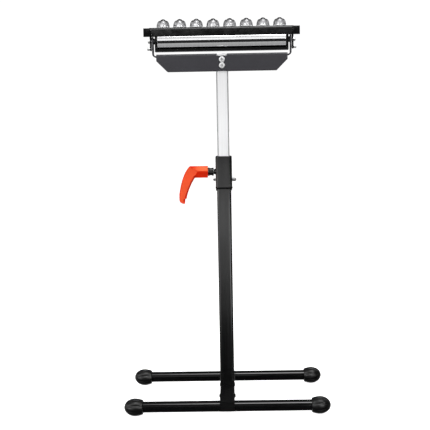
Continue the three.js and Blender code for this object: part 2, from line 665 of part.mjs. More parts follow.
function yokeGeometry() {
  const half = YOKE_LENGTH / 2;
  const bottom = YOKE_TOP - YOKE_DROP;
  const plate = polygon([
    [YOKE_TOP, -half], [YOKE_TOP, half], [bottom + YOKE_CHAMFER, half], [bottom, half - YOKE_CHAMFER],
    [bottom, YOKE_CHAMFER - half], [bottom + YOKE_CHAMFER, -half],
  ]);
  const postOpening = innerSize / 2 + FIT;
  const web = block([-half, half], [-flangeOuter, flangeOuter], [webBottom, YOKE_TOP]);
  const rightLeg = legGeometry();
  const body = join(
    web,
    extrude('y', plate, -flangeOuter, -flangeInner),
    extrude('y', plate, flangeInner, flangeOuter),
    rightLeg,
    rightLeg.clone().rotateZ(Math.PI),
  );
  const notchHalf = YOKE_NOTCH_WIDTH / 2;
  const screwHoles = Object.values(yokeScrewHeights).map((z) => {
    const hole = rod('y', YOKE_SCREW_DIAMETER + 2 * FIT, -2 * flangeOuter, 2 * flangeOuter);
    return hole.translate(0, 0, z);
  });
  const axleHole = rod('x', AXLE_DIAMETER + 2 * FIT, -2 * half, 2 * half).translate(0, 0, axleZ);
  return cut(
    body,
    block([-postOpening, postOpening], [-flangeInner, flangeInner], [webBottom - 1, YOKE_TOP + 1]),
    block([-notchHalf, notchHalf], [-flangeOuter - 1, 0], [YOKE_TOP - YOKE_NOTCH_DEPTH, YOKE_TOP + 1]),
    ...screwHoles,
    axleHole,
  );
}

// Pan head screw along Y: seat at y = 0, head towards -Y, with a cross recess.
function yokeScrewGeometry() {
  const shankEnd = 2 * flangeOuter + 2 * FIT + YOKE_NUT_HEIGHT + YOKE_SCREW_TIP;
  const shank = YOKE_SCREW_DIAMETER / 2;
  const profile = [[0, -shankEnd], [shank, -shankEnd], [shank, 0]];
  profile.push(...domeProfile(YOKE_SCREW_HEAD_DIAMETER, YOKE_SCREW_HEAD_HEIGHT));
  const screw = lathe('y', profile).rotateZ(Math.PI);
  const length = [-YOKE_SCREW_RECESS_LENGTH / 2, YOKE_SCREW_RECESS_LENGTH / 2];
  const width = [-YOKE_SCREW_RECESS_WIDTH / 2, YOKE_SCREW_RECESS_WIDTH / 2];
  const depth = [-YOKE_SCREW_HEAD_HEIGHT - 1, YOKE_SCREW_RECESS_DEPTH - YOKE_SCREW_HEAD_HEIGHT];
  return cut(screw, block(length, depth, width), block(width, depth, length));
}

function buildYoke(root) {
  piece(root, 'head_yoke', yokeGeometry(), materials.greyPaint);
  const seat = flangeOuter + FIT;
  Object.entries(yokeScrewHeights).forEach(([level, z]) => {
    const screw = piece(root, `yoke_screw_${level}`, yokeScrewGeometry(), materials.zinc);
    screw.position.set(0, -seat, z);
    const bore = YOKE_SCREW_DIAMETER + 2 * FIT;
    const nutGeometry = ring('y', YOKE_NUT_DIAMETER, bore, seat, seat + YOKE_NUT_HEIGHT, 6);
    const nut = piece(root, `yoke_nut_${level}`, nutGeometry, materials.zinc);
    nut.position.z = z;
  });
}

// Bottom channel with an upright plate at each end; the axle is the X axis.
function rollerFrameGeometry() {
  const channelHalf = FRAME_CHANNEL_WIDTH / 2;
  const channelBore = channelHalf - FRAME_SHEET;
  const lipTop = FRAME_LIP - frameDrop;
  const channelFloor = FRAME_SHEET - frameDrop;
  const channel = polygon([
    [-channelHalf, -frameDrop], [channelHalf, -frameDrop], [channelHalf, lipTop], [channelBore, lipTop],
    [channelBore, channelFloor], [-channelBore, channelFloor], [-channelBore, lipTop], [-channelHalf, lipTop],
  ]);
  const plateTop = barTop - BAR_SHEET - FIT;
  const plate = new THREE.Shape();
  plate.moveTo(frameHalf, plateTop);
  plate.lineTo(-frameHalf, plateTop);
  plate.lineTo(-frameHalf, FRAME_CORNER - frameDrop);
  plate.absarc(FRAME_CORNER - frameHalf, FRAME_CORNER - frameDrop, FRAME_CORNER, Math.PI, 1.5 * Math.PI);
  plate.absarc(frameHalf - FRAME_CORNER, FRAME_CORNER - frameDrop, FRAME_CORNER, 1.5 * Math.PI, 2 * Math.PI);
  const body = join(
    extrude('x', channel, -frameEndInner - 1, frameEndInner + 1),
    extrude('x', plate, frameEndInner, frameEndOuter),
    extrude('x', plate, -frameEndOuter, -frameEndInner),
  );
  return cut(body, rod('x', AXLE_DIAMETER + 2 * FIT, -frameEndOuter - 1, frameEndOuter + 1));
}

// Channel that opens downwards, with a hole for each ball housing's spigot.
function ballBarGeometry() {
  const profile = polygon([
    [-barOuter, barRise], [BAR_SHEET - barOuter, barRise], [BAR_SHEET - barOuter, barTop - BAR_SHEET],
    [barOuter - BAR_SHEET, barTop - BAR_SHEET], [barOuter - BAR_SHEET, barRise], [barOuter, barRise],
    [barOuter, barTop], [-barOuter, barTop],
  ]);
  const holes = ballPositions().map((x) => {
    const hole = rod('z', HOUSING_SPIGOT_DIAMETER + 2 * FIT, barTop - 2 * BAR_SHEET, barTop + 1);
    return hole.translate(x, 0, 0);
  });
  return cut(extrude('x', profile, -barHalfLength, barHalfLength), ...holes);
}

// Side plate outside the yoke's right leg, as wide as the ball bar at its top.
function sidePlateGeometry() {
  const plate = new THREE.Shape();
  const cornerZ = SIDE_PLATE_CORNER - SIDE_PLATE_DROP;
  const cornerY = SIDE_PLATE_FOOT - SIDE_PLATE_CORNER;
  plate.moveTo(barOuter, barTop);
  plate.lineTo(-barOuter, barTop);
  plate.lineTo(-barOuter, barRise);
  plate.lineTo(-SIDE_PLATE_FOOT, 0);
  plate.lineTo(-SIDE_PLATE_FOOT, cornerZ);
  plate.absarc(-cornerY, cornerZ, SIDE_PLATE_CORNER, Math.PI, 1.5 * Math.PI);
  plate.absarc(cornerY, cornerZ, SIDE_PLATE_CORNER, 1.5 * Math.PI, 2 * Math.PI);
  plate.lineTo(SIDE_PLATE_FOOT, 0);
  plate.lineTo(barOuter, barRise);
  const [from, to] = [sidePlateInner - 1, sidePlateOuter + 1];
  return cut(
    extrude('x', plate, sidePlateInner, sidePlateOuter),
    rod('x', AXLE_DIAMETER + 2 * FIT, from, to),
    rod('x', LOCK_SCREW_DIAMETER + 2 * FIT, from, to).translate(0, 0, -LOCK_SCREW_DROP),
  );
}

function lockScrewGeometry() {
  const seat = sidePlateOuter + FIT;
  return join(
    rod('x', LOCK_SCREW_HEAD_DIAMETER, seat, seat + LOCK_SCREW_HEAD_HEIGHT, 6),
    rod('x', LOCK_SCREW_DIAMETER, legOuter + FIT, seat + 1, 12),
  ).translate(0, 0, -LOCK_SCREW_DROP);
}

function buildHead(root) {
  const head = group(root, 0, 0, axleZ);
  piece(head, 'roller_frame', rollerFrameGeometry(), materials.blackPaint);
  piece(head, 'ball_bar', ballBarGeometry(), materials.blackPaint);
  piece(head, 'pivot_axle', rod('x', AXLE_DIAMETER, -axleHalfLength, axleHalfLength), materials.zinc);

  const axleBore = AXLE_DIAMETER + 2 * FIT;
  const nutSeat = sidePlateOuter + FIT;
  const spacerStart = frameEndOuter + FIT;
  const plugHalfDepth = GUIDE_DEPTH / 2 - GUIDE_WALL - FIT;
  const plugHalfHeight = GUIDE_HEIGHT / 2 - GUIDE_WALL - FIT;
  const guide = group(head, 0, guideFront + GUIDE_DEPTH / 2, barRise + GUIDE_LIFT + GUIDE_HEIGHT / 2);
  [['left', Math.PI], ['right', 0]].forEach(([hand, turn]) => {
    const end = group(head, 0, 0, 0);
    end.rotation.z = turn;
    piece(end, `side_plate_${hand}`, sidePlateGeometry(), materials.blackPaint);
    piece(end, `lock_screw_${hand}`, lockScrewGeometry(), materials.zinc);
    const nut = ring('x', AXLE_NUT_DIAMETER, axleBore, nutSeat, nutSeat + AXLE_NUT_HEIGHT, 6);
    piece(end, `axle_nut_${hand}`, nut, materials.zinc);
    const spacer = ring('x', SPACER_DIAMETER, axleBore, spacerStart, spacerStart + SPACER_LENGTH, 16);
    piece(end, `axle_spacer_${hand}`, spacer, materials.blackPlastic);
    const plugEnd = group(guide, 0, 0, 0);
    plugEnd.rotation.z = turn;
    const plug = block(
      [GUIDE_LENGTH / 2 - GUIDE_PLUG_LENGTH, GUIDE_LENGTH / 2],
      [-plugHalfDepth, plugHalfDepth],
      [-plugHalfHeight, plugHalfHeight],
    );
    piece(plugEnd, `edge_guide_plug_${hand}`, plug, materials.blackPlastic);
  });
  const guideHalf = GUIDE_LENGTH / 2;
  const guideTube = rectTube('x', GUIDE_DEPTH, GUIDE_HEIGHT, GUIDE_WALL, GUIDE_WALL, -guideHalf, guideHalf);
  piece(guide, 'edge_guide', guideTube, materials.blackPaint);
  buildRoller(head);
  buildBalls(head);
}

function buildRoller(head) {
  const half = ROLLER_LENGTH / 2;
  const bore = ROLLER_DIAMETER - 2 * ROLLER_WALL;
  const tube = cut(
    rod('x', ROLLER_DIAMETER, -half, half, ROLLER_SIDES),
    rod('x', bore, -half - 1, half + 1, ROLLER_SIDES),
  );
  piece(head, 'roller_tube', tube, materials.chrome);
  [['left', -half], ['right', half - BEARING_LENGTH]].forEach(([hand, start]) => {
    const axleBore = AXLE_DIAMETER + 2 * FIT;
    const bearing = cut(
      rod('x', bore - 2 * FIT, start, start + BEARING_LENGTH, ROLLER_SIDES),
      rod('x', axleBore, start - 1, start + BEARING_LENGTH + 1),
    );
    piece(head, `roller_bearing_${hand}`, bearing, materials.blackPlastic);
  });
}

function ballPositions() {
  return Array.from({ length: BALL_COUNT }, (_, i) => (i - (BALL_COUNT - 1) / 2) * BALL_PITCH);
}

// Domed cup with a spigot below its base at z = 0; its inside is a sphere that holds the ball.
function housingGeometry() {
  const cupRadius = BALL_DIAMETER / 2 + BALL_GAP;
  const lipRadius = Math.sqrt(cupRadius ** 2 - HOUSING_LIP_HEIGHT ** 2);
  const lipHeight = BALL_CENTRE_HEIGHT + HOUSING_LIP_HEIGHT;
  const spigot = HOUSING_SPIGOT_DIAMETER / 2;
  const spigotEnd = -FIT - BAR_SHEET - 1;
  const profile = [[0, spigotEnd], [spigot, spigotEnd], [spigot, 0]];
  const domeSteps = 4;
  const domeInner = lipRadius + HOUSING_LIP_WIDTH;
  for (let i = 0; i <= domeSteps; i += 1) {
    const angle = ((i / domeSteps) * Math.PI) / 2;
    const radius = domeInner + (HOUSING_DIAMETER / 2 - domeInner) * Math.cos(angle);
    const height = HOUSING_RIM_HEIGHT + (lipHeight - HOUSING_RIM_HEIGHT) * Math.sin(angle);
    if (i === 0) profile.push([radius, 0]);
    profile.push([radius, height]);
  }
  const cupSteps = 5;
  const lipAngle = Math.asin(HOUSING_LIP_HEIGHT / cupRadius);
  for (let i = 0; i <= cupSteps; i += 1) {
    const angle = lipAngle - (i / cupSteps) * (lipAngle + Math.PI / 2);
    const radius = i === cupSteps ? 0 : cupRadius * Math.cos(angle);
    profile.push([radius, BALL_CENTRE_HEIGHT + cupRadius * Math.sin(angle)]);
  }
  return lathe('z', profile, BALL_SIDES);
}

function ballGeometry() {
  const sphere = new THREE.SphereGeometry(BALL_DIAMETER / 2, BALL_SIDES, BALL_STACKS);
  return sphere.rotateZ(Math.PI / 2);
}

function buildBalls(head) {
  ballPositions().forEach((x, i) => {
    const unit = group(head, x, 0, barTop + FIT);
    piece(unit, `ball_housing_${i + 1}`, housingGeometry(), materials.chrome);
    const ball = piece(unit, `ball_${i + 1}`, ballGeometry(), materials.chrome);
    ball.position.z = BALL_CENTRE_HEIGHT;
  });
}

const stand = new THREE.Group();
buildBase(stand);
buildPost(stand);
buildCollar(stand);
buildClamp(stand);
buildInnerPost(stand);
buildYoke(stand);
buildHead(stand);

export default stand;
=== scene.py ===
import math

import bmesh
import bpy
from mathutils import Matrix, Vector


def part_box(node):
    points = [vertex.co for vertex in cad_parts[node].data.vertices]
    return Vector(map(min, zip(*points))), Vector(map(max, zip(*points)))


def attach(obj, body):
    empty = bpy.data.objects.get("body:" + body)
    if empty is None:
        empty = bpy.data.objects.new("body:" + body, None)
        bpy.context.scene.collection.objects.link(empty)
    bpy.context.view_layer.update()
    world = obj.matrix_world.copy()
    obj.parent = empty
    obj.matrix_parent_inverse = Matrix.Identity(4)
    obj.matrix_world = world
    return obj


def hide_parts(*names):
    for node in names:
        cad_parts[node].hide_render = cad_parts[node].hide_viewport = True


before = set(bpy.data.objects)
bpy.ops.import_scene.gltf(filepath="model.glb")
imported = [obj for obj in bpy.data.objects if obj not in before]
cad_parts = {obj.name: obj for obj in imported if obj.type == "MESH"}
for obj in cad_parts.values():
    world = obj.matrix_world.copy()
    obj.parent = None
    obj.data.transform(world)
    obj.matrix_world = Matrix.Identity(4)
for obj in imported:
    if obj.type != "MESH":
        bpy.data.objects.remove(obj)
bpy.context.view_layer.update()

# A pedestal roller stand with a tilting head. Meshes are made in millimetres and scaled once.
MM = 0.001

# Photograph's camera
CAMERA_PLACE = (0.0199, -2.5599, 0.6988)
CAMERA_YAW = math.radians(-0.957)
CAMERA_PITCH = math.radians(-5.617)
CAMERA_ROLL = math.radians(1.033)
CAMERA_SENSOR = 36.0
CAMERA_LENS = 90.32

# Clearance between pieces that touch
FIT = 0.3

# Feet
FOOT_TUBE_RADIUS = 12.7
FOOT_TUBE_WALL = 1.5
CAP_RADIUS = 20.25
CAP_RIM_RADIUS = 16.5
CAP_NOSE_LENGTH = 25
CAP_END_WALL = 12
CAP_RIM_ROUND = 1.2
CAP_LOBES = 8
CAP_GROOVE_DEPTH = 1.9
CAP_GROOVE_SHARPNESS = 4
CAP_GROOVE_FADE = 0.7
CAP_SOCKET_EDGE = 0.4
CAP_SKIN = 1
CAP_BARREL_SHARE = 0.4
CAP_STEPS = 44
CAP_SIDES = 16 * CAP_LOBES

# Crossbar and the blocks that it meets
CROSSBAR_WALL = 1.5
CROSSBAR_CORNER = 3.5
CROSS_BOLT_RADIUS = 3.5
CROSS_BOLT_HEAD_RADIUS = 5.5
CROSS_BOLT_HEAD_HEIGHT = 2.4
CROSS_BOLT_RIM = 0.2
CAP_NUT_BORE = 1.7
FOOT_BLOCK_DEPTH = 28
FOOT_BLOCK_EDGE = 0.8
FOOT_BLOCK_CORNER = 2
FOOT_BLOCK_LIFT = 3.2
FOOT_NOTCH_RADIUS = 5
FOOT_NOTCH_DEPTH = 2
STUB_WALL = 1.5

# Post and collar
POST_WALL = 2
POST_CORNER = 6
COLLAR_CORNER = 6.5
COLLAR_TOP_ROUND = 3.2
COLLAR_TAB_WIDTH = 20
COLLAR_TAB_DROP = 8
COLLAR_SCREW_RADIUS = 2.5
COLLAR_SCREW_DOME = 2.2
BOSS_RADIUS = 6.8
BOSS_TIP_RADIUS = 6
BOSS_LENGTH = 4.2
STUD_RADIUS = 4
PAD_RADIUS = 6
WELD_RADIUS = 1.5
COLLAR_WELD_RADIUS = 2.8
COLLAR_WELD_SPREAD = 0.4
COLLAR_WELD_DROP = 1.2
WELD_LIFT = 0.5
WELD_STEP = 0.45
WELD_SIDES = 12
WELD_CORNER_STEPS = 10
BUSHING_EDGE = 0.8

# Lever
LEVER_HUB_HALF_HEIGHT = 13.75
LEVER_HUB_HALF_DEPTH = 12.5
LEVER_HUB_TOP_HALF_DEPTH = 4.5
LEVER_HUB_BOTTOM_HALF_DEPTH = 5
LEVER_RIDGE_DROP = 10.4
LEVER_RIDGE_WIDTH = 1.6
LEVER_TOP_LENGTH = 43
LEVER_UNDERSIDE = 31
LEVER_ARM_WIDTH = 17.5
LEVER_GRIP_TOP = 22.5
LEVER_GRIP_INSIDE = 14
LEVER_TIP_ROUND = 10.5
LEVER_BEND_SAG = 8.5
LEVER_BEND_FALL = 14.8
LEVER_INSIDE_SAG = 5.6
LEVER_INSIDE_FALL = 23
LEVER_HALF_THICKNESS = 9
LEVER_OUTER_CHAMFER = 2.4
LEVER_INNER_CHAMFER = 4.6
LEVER_STEP_HEIGHT = 12
LEVER_STEP_WIDTH = 3.4
STUD_IN_LEVER = 14
LEVER_EDGE = 0.6
LEVER_EDGE_ANGLE = math.radians(20)
LEVER_TIP_LEAD = 2
LEVER_NOSE = 1.5
LEVER_STEP_SLOPE = 0.8
LEVER_TIP_RISE = 1
LEVER_BEND_STEPS = 26
LEVER_GRIP_STEPS = 6
LEVER_STEP_STEPS = 2
LEVER_TIP_STEPS = 14
HUB_EDGE = 1.2
HUB_FLANGE = 3
HUB_GROOVE = 1.3
HUB_SLOPE = 0.8

# Stations along the lever hub's straight stretch, and the share of the hub's section at the last of them
LEVER_HUB_STEPS = 16
LEVER_HUB_FADE = (0.85, 0.6, 0.35, 0.2, 0.1, 0.04)

# Inner post and yoke
INNER_WALL = 1.5
INNER_CORNER = 3.2
YOKE_SHEET = 3
YOKE_BEND = 4.5
YOKE_CHAMFER = 25
YOKE_NOTCH_WIDTH = 25
YOKE_NOTCH_DEPTH = 5
YOKE_DROP = 40.5
YOKE_HALF_LENGTH = 153.5
YOKE_EDGE = 0.45
YOKE_OVERCUT = 5
YOKE_SCREW_RADIUS = 3
YOKE_SCREW_HEAD_RADIUS = 7
YOKE_SCREW_HEAD_HEIGHT = 3
PAN_ROUND = 2.6
YOKE_RECESS_LENGTH = 7.6
YOKE_RECESS_WIDTH = 1.8
YOKE_RECESS_DEPTH = 2.4
LEG_WIDTH = 21
LEG_THICKNESS = 3.5
LEG_BEND = 5
LEG_LAP = 55
LEG_EDGE = 0.4
LEG_BEND_STEPS = 10
LEG_END_STEPS = 12

# Head
AXLE_RADIUS = 4
FRAME_SHEET = 2.5
FRAME_END_PLATE = 4.7
FRAME_CHANNEL_WIDTH = 25
FRAME_LIP = 6
FRAME_BEND = 3
FRAME_CORNER = 5
BAR_SHEET = 2
BAR_BEND = 4.6
SIDE_PLATE_FOOT = 12
SIDE_PLATE_CORNER = 6
LOCK_SCREW_RADIUS = 3
LOCK_SCREW_HEAD_HEIGHT = 6.5
GUIDE_WALL = 1.5
GUIDE_CORNER = 1.8
ROLLER_WALL = 1.5
ROLLER_EDGE = 0.8
ROLLER_GROOVE = ((8, 0), (8.4, 1), (12.5, 1), (13, 0))
ROLLER_END_EDGE = 0.4
SIDE_PLATE_TOP_CORNER = 3
AXLE_EDGE = 0.6
NUT_EDGE = 0.4
LOCK_SCREW_EDGE = 0.6
PLUG_CORNER = 1.2
PLUG_EDGE = 0.5

# Ball transfers
BALL_COUNT = 8
BALL_RADIUS = 7.95
BALL_GAP = 0.4
BALL_CENTRE_HEIGHT = 12.1
HOUSING_RADIUS = 15.8
HOUSING_RIM_HEIGHT = 2.2
HOUSING_STEP = 0.6
HOUSING_LIP_WIDTH = 1
HOUSING_LIP_HEIGHT = 4.2
SPIGOT_RADIUS = 6
SPIGOT_LENGTH = 3.3
HOUSING_EDGE = 0.3
HOUSING_DOME_STEPS = 18
HOUSING_CUP_STEPS = 12

# Mesh fineness
ROUND_SIDES = 64
SMALL_SIDES = 40
CORNER_STEPS = 8
BALL_STEPS = 24
BALL_SIDES = 48
ROLLER_SIDES = 96
EDGE_STEPS = 3
EDGE_SEGMENTS = 2
SHARP_ANGLE = math.radians(38)
PLATE_ANGLE = math.radians(50)
SHEET_ANGLE = math.radians(60)
SHEET_EDGE = 0.3
PLATE_EDGE = 0.6
LEAST_ROUND = 0.3
MERGE_DISTANCE = 0.0005

# Light of the room, which reflections and shading see; the camera sees a white backdrop
OVERHEAD_AIM = (0.11, -0.38, 0.92)
OVERHEAD_INNER = 8
OVERHEAD_OUTER = 13
OVERHEAD_LIGHT = 7.0
ROOM_LIGHT = 0.05
DARK_LIGHT = 0.02
BACK_LIGHT = 0.6
BACKDROP_LIGHT = 1.05
FLOOR_GLOW = 0.95
FLOOR_SIZE = 60
FLOOR_DROP = 0.0002

# Panels of light: place, aim, width, height, radiance and spread in degrees
PANELS = {
    "key_left": ((-0.72, -1.55, 1.15), (0.0, 0.0, 0.6), 0.25, 0.25, 37.0, 120),
    "key_right": ((0.74, -1.55, 1.15), (0.0, 0.0, 0.6), 0.25, 0.25, 32.0, 120),
    "front": ((0.0, -0.95, 1.28), (0.0, 0.0, 1.146), 0.48, 0.56, 1.35, 96),
    "front_wide": ((0.0, -0.95, 1.28), (0.0, 0.0, 1.146), 2.0, 0.56, 0.70, 96),
    "top": ((0.0, -0.30, 1.33), (0.0, 0.30, 0.53), 0.44, 0.50, 0.60, 110),
    "top_wide": ((0.0, -0.30, 1.33), (0.0, 0.30, 0.53), 1.6, 0.50, 0.45, 110),
    "apron": ((0.0, -0.25, 0.654), (0.0, 0.0, 0.654), 0.8, 0.108, 0.50, 170),
    "shelf": ((0.0, -0.165, 0.60), (0.0, -0.165, 1.0), 0.8, 0.17, 0.40, 170),
    "ledge": ((0.0, -0.0152, 0.8305), (0.0, -0.0152, 1.0), 0.31, 0.0054, 0.42, 170),
    "reflector_high": ((-0.36, -0.45, 0.515), (-0.36, 0.0, 0.515), 0.9, 0.114, 1.45, 64),
    "reflector_upper": ((-0.36, -0.45, 0.40), (-0.36, 0.0, 0.40), 0.9, 0.116, 2.15, 64),
    "reflector_middle": ((-0.36, -0.45, 0.285), (-0.36, 0.0, 0.285), 0.9, 0.114, 1.35, 64),
    "reflector_lower": ((-0.36, -0.45, 0.1755), (-0.36, 0.0, 0.1755), 0.9, 0.105, 0.65, 64),
    "left": ((-1.0, -0.9, 0.20), (0.0, 0.0, 0.0), 1.3, 0.65, 5.0, 64),
    "left_low": ((-1.2, 0.05, 0.21), (0.0, 0.05, 0.21), 1.1, 0.42, 0.9, 150),
    "right": ((0.48, -1.05, 0.20), (0.0, 0.0, 0.22), 0.50, 0.42, 11.0, 44),
    "collar_left": ((-1.158, -0.59, 0.474), (0.0, 0.0, 0.53), 0.60, 0.115, 3.5, 100),
    "head_left": ((-0.9, -0.25, 1.26), (0.0, -0.25, 1.26), 1.8, 0.32, 1.1, 170),
    "head_right": ((0.9, -0.25, 1.26), (0.0, -0.25, 1.26), 1.8, 0.32, 0.9, 170),
    "back": ((0.9, 1.6, 1.2), (0.0, 0.0, 0.5), 1.2, 1.2, 0.8, 140),
    "back_left": ((-1.9, 1.5, 1.75), (0.0, 0.0, 0.6), 2.2, 1.6, 3.0, 150),
    "back_right": ((1.9, 1.5, 1.75), (0.0, 0.0, 0.6), 2.2, 1.6, 3.0, 150),
}

# Panels that colour the back without a glint in the metal
DIFFUSE_PANELS = ("back_left", "back_right")


def extent(node):
    """Lowest and highest corner of a part of the frame, in millimetres."""
    low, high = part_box(node)
    return low / MM, high / MM


def centre(node):
    low, high = extent(node)
    return (low + high) / 2


# Shared places, read from the frame
FOOT_AXIS_Z = centre("front_foot_tube").z
FOOT_Y = centre("rear_left_foot_cap").y
AXLE_Z = centre("pivot_axle").z
CLAMP_Z = centre("clamp_stud").z


# Mesh helpers

def place(axis, u, v, height):
    """A point of an outline: (y, z) across X, (x, z) across Y and (x, y) across Z."""
    if axis == "x":
        return Vector((height, u, v))
    if axis == "y":
        return Vector((u, height, v))
    return Vector((u, v, height))


def arc(centre_u, centre_v, radius, start, end, steps=CORNER_STEPS):
    """Points on an arc, angles in degrees."""
    points = []
    for i in range(steps + 1):
        angle = math.radians(start + (end - start) * i / steps)
        points.append((centre_u + radius * math.cos(angle), centre_v + radius * math.sin(angle)))
    return points


def curve(start, control, end, steps):
    """Points on a quadratic curve, without its start."""
    points = []
    for i in range(1, steps + 1):
        t = i / steps
        points.append(tuple(
            (1 - t) ** 2 * a + 2 * t * (1 - t) * b + t * t * c for a, b, c in zip(start, control, end)
        ))
    return points


def line(start, end, steps):
    """Points on a straight line, without its start."""
    return curve(start, tuple((a + b) / 2 for a, b in zip(start, end)), end, steps)


def rounded_rect(width, height, corner, steps=CORNER_STEPS):
    u, v = width / 2 - corner, height / 2 - corner
    return (
        arc(u, v, corner, 0, 90, steps) + arc(-u, v, corner, 90, 180, steps)
        + arc(-u, -v, corner, 180, 270, steps) + arc(u, -v, corner, 270, 360, steps)
    )


def loft(loops, closed=False):
    """A skin over loops of as many points each, with end faces unless it closes on itself."""
    bm = bmesh.new()
    rows = [[bm.verts.new(point) for point in loop] for loop in loops]
    pairs = list(zip(rows, rows[1:]))
    if closed:
        pairs.append((rows[-1], rows[0]))
    else:
        bm.faces.new(rows[0])
        bm.faces.new(rows[-1])
    count = len(rows[0])
    for first, second in pairs:
        for i in range(count):
            j = (i + 1) % count
            bm.faces.new((first[i], first[j], second[j], second[i]))
    return bm


def prism(axis, outline, start, end):
    return loft([[place(axis, u, v, height) for u, v in outline] for height in (start, end)])


def block(xs, ys, zs):
    outline = [(xs[0], ys[0]), (xs[1], ys[0]), (xs[1], ys[1]), (xs[0], ys[1])]
    return prism("z", outline, *zs)


def rect_tube(axis, width, height, wall, corner, start, end, edge=0.35):
    """A tube of rounded rectangular section, with its outer end edges broken."""
    bore_corner = max(corner - wall, LEAST_ROUND)
    bore = rounded_rect(width - 2 * wall, height - 2 * wall, bore_corner)
    outer = rounded_rect(width, height, corner)
    broken = rounded_rect(width - 2 * edge, height - 2 * edge, corner - edge)
    layers = [
        (broken, start), (outer, start + edge), (outer, end - edge), (broken, end),
        (bore, end), (bore, start),
    ]
    return loft([[place(axis, u, v, at) for u, v in ring] for ring, at in layers], closed=True)


def lathe(axis, profile, sides=ROUND_SIDES, closed=False):
    """Turns (radius, height) pairs about an axis; a radius of 0 is a point on it."""
    bm = bmesh.new()
    rows = []
    for radius, height in profile:
        if radius == 0:
            rows.append([bm.verts.new(place(axis, 0, 0, height))])
            continue
        ring = []
        for i in range(sides):
            angle = 2 * math.pi * i / sides
            ring.append(bm.verts.new(place(axis, radius * math.cos(angle), radius * math.sin(angle), height)))
        rows.append(ring)
    pairs = list(zip(rows, rows[1:]))
    if closed:
        pairs.append((rows[-1], rows[0]))
    for first, second in pairs:
        for i in range(sides):
            j = (i + 1) % sides
            corners = []
            for row, k in ((first, i), (first, j), (second, j), (second, i)):
                corner = row[k % len(row)]
                if corner not in corners:
                    corners.append(corner)
            if len(corners) > 2:
                bm.faces.new(corners)
    return bm


def rod(axis, radius, start, end, sides=SMALL_SIDES):
    return lathe(axis, [(0, start), (radius, start), (radius, end), (0, end)], sides)


def dome(radius, height, seat, steps=10):
    """Profile of a low domed head from its rim to its crown."""
    points = []
    for i in range(steps):
        angle = math.pi / 2 * i / steps
        points.append((radius * math.cos(angle), seat + height * math.sin(angle)))
    return points + [(0, seat + height)]


def moved(bm, x=0, y=0, z=0):
    bmesh.ops.translate(bm, verts=bm.verts, vec=(x, y, z))
    return bm


def turned(bm, degrees, axis="Z"):
    rotation = Matrix.Rotation(math.radians(degrees), 3, axis)
    bmesh.ops.rotate(bm, verts=bm.verts, cent=(0, 0, 0), matrix=rotation)
    return bm


def merged(*meshes):
    """One mesh of several separate closed shells."""
    result = bmesh.new()
    for bm in meshes:
        mesh = bpy.data.meshes.new("shell")
        bm.to_mesh(mesh)
        bm.free()
        result.from_mesh(mesh)
        bpy.data.meshes.remove(mesh)
    return result


def scratch_object(bm):
    bmesh.ops.recalc_face_normals(bm, faces=bm.faces)
    mesh = bpy.data.meshes.new("scratch")
    bm.to_mesh(mesh)
    bm.free()
    scratch = bpy.data.objects.new("scratch", mesh)
    bpy.context.scene.collection.objects.link(scratch)
    return scratch


def combined(operation, body, tools):
    target = scratch_object(body)
    cutters = [scratch_object(tool) for tool in tools]
    for cutter in cutters:
        modifier = target.modifiers.new("combine", "BOOLEAN")
        modifier.operation = operation
        modifier.solver = "EXACT"
        modifier.object = cutter
    result = bmesh.new()
    result.from_object(target, bpy.context.evaluated_depsgraph_get())
    for scratch in (target, *cutters):
        mesh = scratch.data
        bpy.data.objects.remove(scratch)
        bpy.data.meshes.remove(mesh)
    return result


def cut(body, *tools):
    return combined("DIFFERENCE", body, tools)


def joined(body, *others):
    return combined("UNION", body, others)


def softened(bm, width, angle=SHARP_ANGLE):
    """Rounds the edges that turn by more than an angle."""
    bmesh.ops.recalc_face_normals(bm, faces=bm.faces)
    edges = [e for e in bm.edges if len(e.link_faces) == 2 and e.calc_face_angle() > angle]
    bmesh.ops.bevel(
        bm, geom=edges, offset=width, offset_type="OFFSET", segments=EDGE_SEGMENTS, profile=0.5,
        affect="EDGES", clamp_overlap=True,
    )
    return bm


def hex_prism(axis, radius, start, end, edge=0.5):
    return softened(prism(axis, arc(0, 0, radius, 0, 300, 5), start, end), edge)


def put(name, bm, body, slot, *nodes, look=None):
    """Makes a piece of a mesh, in its slot's finish or a look of its own, in place of the named nodes."""
    bmesh.ops.remove_doubles(bm, verts=bm.verts, dist=MERGE_DISTANCE)
    bmesh.ops.recalc_face_normals(bm, faces=bm.faces)
    bmesh.ops.scale(bm, verts=bm.verts, vec=(MM, MM, MM))
    for face in bm.faces:
        face.smooth = True
    for edge in bm.edges:
        edge.smooth = len(edge.link_faces) == 2 and edge.calc_face_angle() < SHARP_ANGLE
    mesh = bpy.data.meshes.new(name)
    bm.to_mesh(mesh)
    bm.free()
    piece = bpy.data.objects.new(name, mesh)
    bpy.context.scene.collection.objects.link(piece)
    normals = piece.modifiers.new("even_shading", "WEIGHTED_NORMAL")
    normals.keep_sharp = True
    mesh.materials.append(finishes[look or slot])
    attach(piece, body)
    if nodes:
        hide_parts(*nodes)
    return piece


def relook(piece, look, chosen):
    """Gives a second finish to the faces that a test picks by their middle, in millimetres."""
    piece.data.materials.append(finishes[look])
    for face in piece.data.polygons:
        if chosen(face.center / MM):
            face.material_index = 1


# Finishes: the middle part of a noise that they use, and how much finer the gloss is than the colour
NOISE_LOW = 0.3
NOISE_HIGH = 0.7
GLOSS_FINENESS = 2.7


def add_node(tree, kind, **settings):
    node = tree.nodes.new(kind)
    for name, value in settings.items():
        setattr(node, name, value)
    return node


def stretched_coordinates(tree, scale):
    coordinates = add_node(tree, "ShaderNodeTexCoord")
    mapping = add_node(tree, "ShaderNodeMapping")
    mapping.inputs["Scale"].default_value = scale
    tree.links.new(coordinates.outputs["Object"], mapping.inputs["Vector"])
    return mapping.outputs["Vector"]


